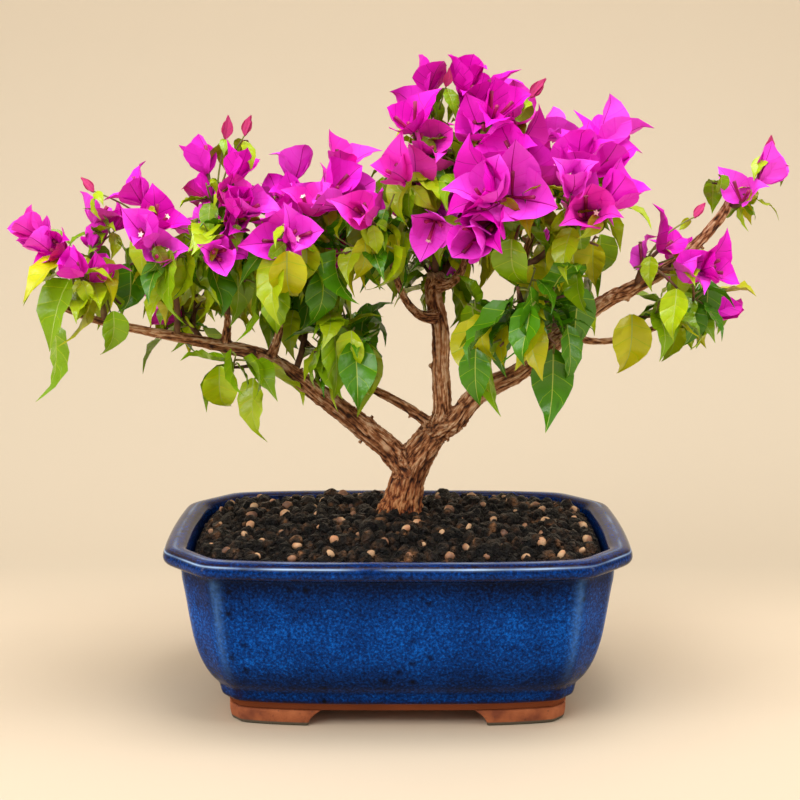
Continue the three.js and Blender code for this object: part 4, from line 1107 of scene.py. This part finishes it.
roll = random.Random(SEED)
for root, axis, right, over in heads:
    for k in range(3):
        out = way_out(right, over, THIRD_TURN * k + 2 * roll.random())
        heading = (out - axis * 0.4 - UP * 0.5 * roll.random()).normalized()
        face = square_to(heading, axis)
        foot, length = root - axis * roll.uniform(*YOUNG_BACK) + out, roll.uniform(*YOUNG_LENGTH)
        if takes_room(foot, heading, face, length, length * LEAF_WIDTH, LEAF_FREE, next(leaf_marks),
                      YOUNG_CROWDED, True):
            shape, shade = roll.choice(LEAF_SHAPES), roll.choice(YOUNG_PALETTE)
            leaves.add(shape, foot, heading, face, length, shade, LEAF_RIB, LEAF_VEINS[shade])
for i, (name, size, shoots, twigs) in enumerate(sprays):
    roll = random.Random(SEED * 31 + i)
    step, largest = OPEN_SET.get(name, LEAF_STEP), LARGEST.get(name, LEAF_LARGEST)
    for shoot in shoots:
        grow_leaves(shoot, name, step, largest, roll)
    for twig in twigs:
        grow_leaves(twig, name, step * TWIG_STEP, largest * TWIG_LARGEST, roll)
fit(leaves.made("leaves", *leaf_finishes), "leaf", *("foliage_" + row[0] for row in MASSES if not row[4]))
fit(piece("twigs", *woody_mesh, woody), "bark")
fit(piece("green_stems", *green_mesh, young), "leaf")

# Studio: a pale warm paper sweep under soft light from above, seen from the photograph's side.
# The camera stands a little over the rim and looks down on the soil.
SWEEP_FRONT, SWEEP_BACK, SWEEP_BEND, SWEEP_TOP, SWEEP_HALF = -3.0, 0.32, 0.45, 2.6, 4.0
WALL_START, WALL_FULL, ROOM_COLOUR, ROOM_LIGHT = 0.14, 0.28, (1.0, 0.96, 0.9, 1.0), (0.25, 0.72)
PHOTO_WIDTH, FOCAL_PIXELS, OFF_CENTRE, SENSOR = 800, 1715, 2.25, 36.0
CAMERA_PLACE, CAMERA_DIP = (0.0, -0.9423, 0.3192), 0.1592
SOFTBOXES = [
    ("overhead", (0.2, -0.2, 1.5), (0, 0, 0.15), 1.0, 0.9, 17),
    ("front", (-0.8, -1.4, 1.3), (0, 0, 0.2), 1.0, 0.7, 12),
    ("window", (0, -0.7, 1.15), (0, 0, 0.1), 1.6, 0.06, 2),
    ("left_strip", (-1.2, -0.5, 0.4), (0, 0, 0.1), 0.2, 1.0, 5),
    ("right_strip", (1.2, -0.5, 0.4), (0, 0, 0.1), 0.2, 1.0, 3.5),
]
section = [(SWEEP_FRONT, 0.0)]
section += [(SWEEP_BACK + SWEEP_BEND * math.sin(a), SWEEP_BEND * (1 - math.cos(a)))
            for a in np.linspace(0, math.pi / 2, 16)]
section += [(SWEEP_BACK + SWEEP_BEND, SWEEP_TOP)]
points = [(x / MM, y / MM, z / MM) for y, z in section for x in (-SWEEP_HALF, SWEEP_HALF)]
faces = [(2 * k, 2 * k + 1, 2 * k + 3, 2 * k + 2) for k in range(len(section) - 1)]
paper, tree, skin = new_finish("pale_paper", Roughness=0.95)
# painted shade: the paper is painted a little darker where the sweep rises into the wall
run = maths(tree, "ADD", own_axis(tree, 1), own_axis(tree, 2), clamp=False)
painted_wall_shade = between(tree, run, WALL_START, WALL_FULL)
tree.links.new(blend(tree, painted_wall_shade, rgb(212, 194, 169), rgb(198, 183, 160)), skin.inputs["Base Color"])
behind = node(tree, "ShaderNodeNewGeometry").outputs["Backfacing"]
clear = node(tree, "ShaderNodeBsdfTransparent").outputs[0]
one_sided = node(tree, "ShaderNodeMixShader", {0: behind, 1: skin.outputs[0], 2: clear}).outputs[0]
tree.links.new(one_sided, tree.nodes["Material Output"].inputs["Surface"])
piece("floor", points, faces, paper)

world = bpy.data.worlds.new("soft_room")
world.use_nodes = True
tree, room = world.node_tree, world.node_tree.nodes["Background"]
sky_place = node(tree, "ShaderNodeTexCoord").outputs["Generated"]
upward = node(tree, "ShaderNodeSeparateXYZ", {0: sky_place}).outputs[2]
tree.links.new(between(tree, upward, 0.0, 0.7, *ROOM_LIGHT), room.inputs["Strength"])
room.inputs["Color"].default_value = ROOM_COLOUR
bpy.context.scene.world = world
for name, place, aim, width, height, power in SOFTBOXES:
    lamp = bpy.data.lights.new(name, "AREA")
    lamp.shape, lamp.size, lamp.size_y, lamp.energy = "RECTANGLE", width, height, power
    box = bpy.data.objects.new(name, lamp)
    box.location = place
    box.rotation_euler = (Vector(aim) - Vector(place)).to_track_quat("-Z", "Y").to_euler()
    bpy.context.collection.objects.link(box)

lens = bpy.data.cameras.new("camera")
lens.sensor_width = SENSOR
lens.lens = SENSOR * FOCAL_PIXELS / PHOTO_WIDTH
lens.shift_x = OFF_CENTRE / PHOTO_WIDTH
view = bpy.data.objects.new("camera", lens)
view.location = CAMERA_PLACE
view.rotation_euler = (math.pi / 2 - CAMERA_DIP, 0.0, 0.0)
bpy.context.collection.objects.link(view)
bpy.context.scene.camera = view
bpy.context.scene.view_settings.view_transform = "Standard"
